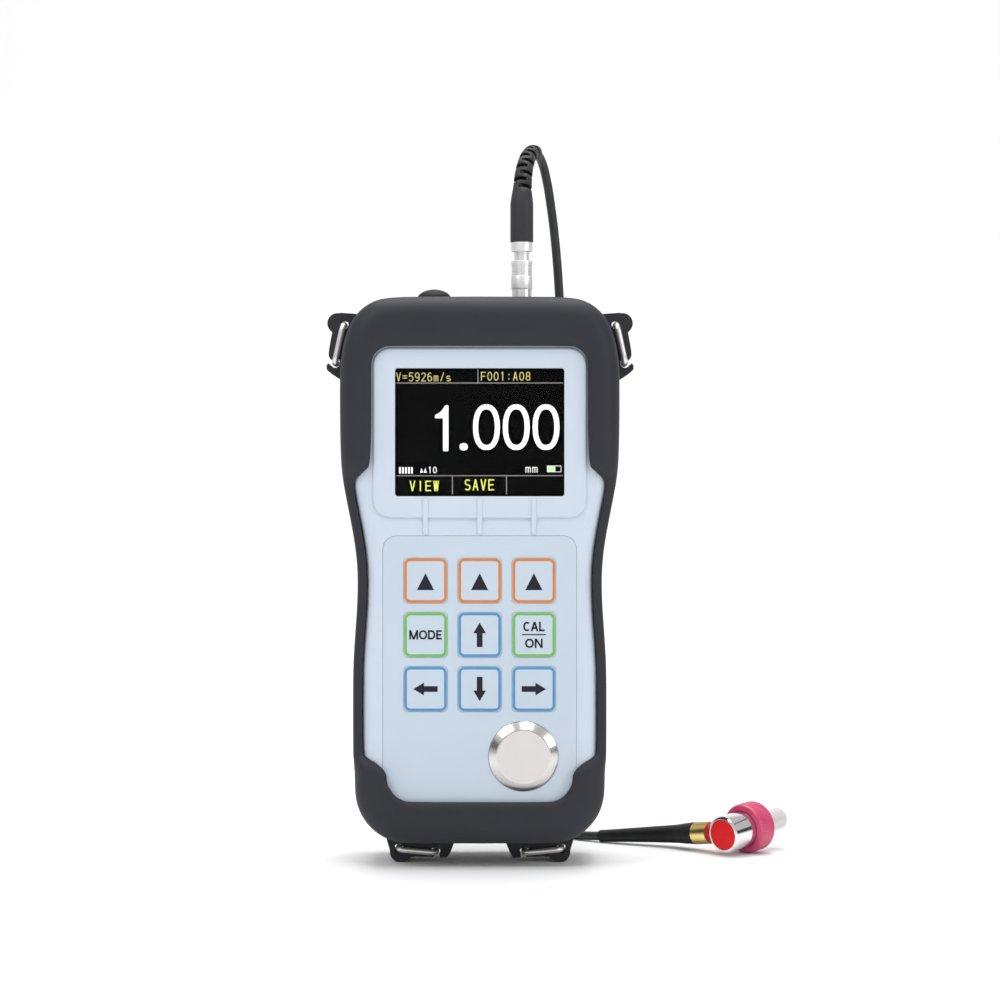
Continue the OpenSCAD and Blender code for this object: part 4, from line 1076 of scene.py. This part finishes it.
class GAUGE_OT_probe(bpy.types.Operator):
    """Adds the probe with its connector, ring and tip"""

    bl_idname = "gauge.probe"
    bl_label = "Probe"

    def execute(self, context):
        body = turned([(4.75, 0.15), (4.78, 0.02), (4.95, 0), (5.3, 0.12), (5.58, 0.42),
                       (5.65, 0.8), (5.65, 9.6), (5.6, 9.85), (5.4, 9.98), (4.2, 10),
                       (4.2, 14.1)], sides=96)
        settle(body, NOSE)
        hand_over(body, "probe_shell", "Probe chrome", stands_for=("probe_body",))
        ring = turned([(4.28, 15.4), (4.28, 10.3), (5.68, 10.2), (5.68, 9.7), (5.8, 9.58),
                       (6.6, 9.66), (7.15, 9.88), (7.48, 10.3), (7.6, 10.9), (7.6, 15.5),
                       (7.58, 15.9), (7.4, 16.35), (7.0, 16.5), (3.51, 16.5), (3.51, 15.4),
                       (4.28, 15.4)], sides=192, bored=True)
        flute(ring, 10.8, 15.7, 0.2, every=3)
        settle(ring, NOSE)
        hand_over(ring, "knurled_ring_fluted", "Ring magenta", "knurled_ring_body",
                  ("knurled_ring",))
        tip = turned([(4.2, 14.1), (4.2, 15.3), (3.35, 15.3), (3.35, 27.9), (3.25, 28.3),
                      (3.0, 28.55), (2.6, 28.6)])
        settle(tip, NOSE)
        hand_over(tip, "delay_tip_turned", "Tip acrylic", stands_for=("delay_tip",))
        brass = turned([(3.1, 8.66), (3.35, 8.75), (3.45, 8.95), (3.45, 14.25), (3.35, 14.5),
                        (3.1, 14.6), (3.1, 14.85)], sides=96)
        flute(brass, 8.9, 14.3, 0.2)
        settle(brass, SIDE)
        hand_over(brass, "side_connector_knurled", "Connector brass",
                  stands_for=("side_connector",))
        relief = node_copy("lead_relief", angle=50)
        hand_over(relief, "lead_relief_smooth", "Lead rubber",
                  stands_for=("lead_relief",))
        return {"FINISHED"}


class GAUGE_OT_solids(bpy.types.Operator):
    """Gives every solid that stays in view its finish"""

    bl_idname = "gauge.solids"
    bl_label = "Solids that stay"

    def execute(self, context):
        for finish, names in FINISH_OF_NODE.items():
            for name in names:
                for place in NODES[name].material_slots:
                    place.material = FINISHES[finish]
        return {"FINISHED"}


OPERATORS = (GAUGE_OT_stage, GAUGE_OT_cable, GAUGE_OT_boot, GAUGE_OT_case, GAUGE_OT_display,
             GAUGE_OT_keys, GAUGE_OT_zero_disc, GAUGE_OT_ports, GAUGE_OT_plug,
             GAUGE_OT_strap_rings, GAUGE_OT_probe, GAUGE_OT_solids)


class GAUGE_PT_build(bpy.types.Panel):
    """Lists the pieces of the gauge"""

    bl_label = "Thickness gauge"
    bl_idname = "GAUGE_PT_build"
    bl_space_type = "VIEW_3D"
    bl_region_type = "UI"
    bl_category = "Gauge"

    def draw(self, context):
        scene = context.scene
        for group in (scene.gauge_sizes, scene.gauge_colours, scene.gauge_stage):
            for name in group.__annotations__:
                self.layout.prop(group, name)
        for operator in OPERATORS:
            self.layout.operator(operator.bl_idname)


CLASSES = (GaugeSizes, GaugeColours, GaugeStage, *OPERATORS, GAUGE_PT_build)


def register():
    for item in CLASSES:
        bpy.utils.register_class(item)
    bpy.types.Scene.gauge_sizes = bpy.props.PointerProperty(type=GaugeSizes)
    bpy.types.Scene.gauge_colours = bpy.props.PointerProperty(type=GaugeColours)
    bpy.types.Scene.gauge_stage = bpy.props.PointerProperty(type=GaugeStage)


def unregister():
    del bpy.types.Scene.gauge_stage, bpy.types.Scene.gauge_colours, bpy.types.Scene.gauge_sizes
    for item in reversed(CLASSES):
        bpy.utils.unregister_class(item)


def main():
    register()
    make_finishes(bpy.context.scene.gauge_colours)
    for operator in OPERATORS:
        getattr(bpy.ops.gauge, operator.bl_idname.split(".")[1])()


if __name__ == "__main__":
    main()
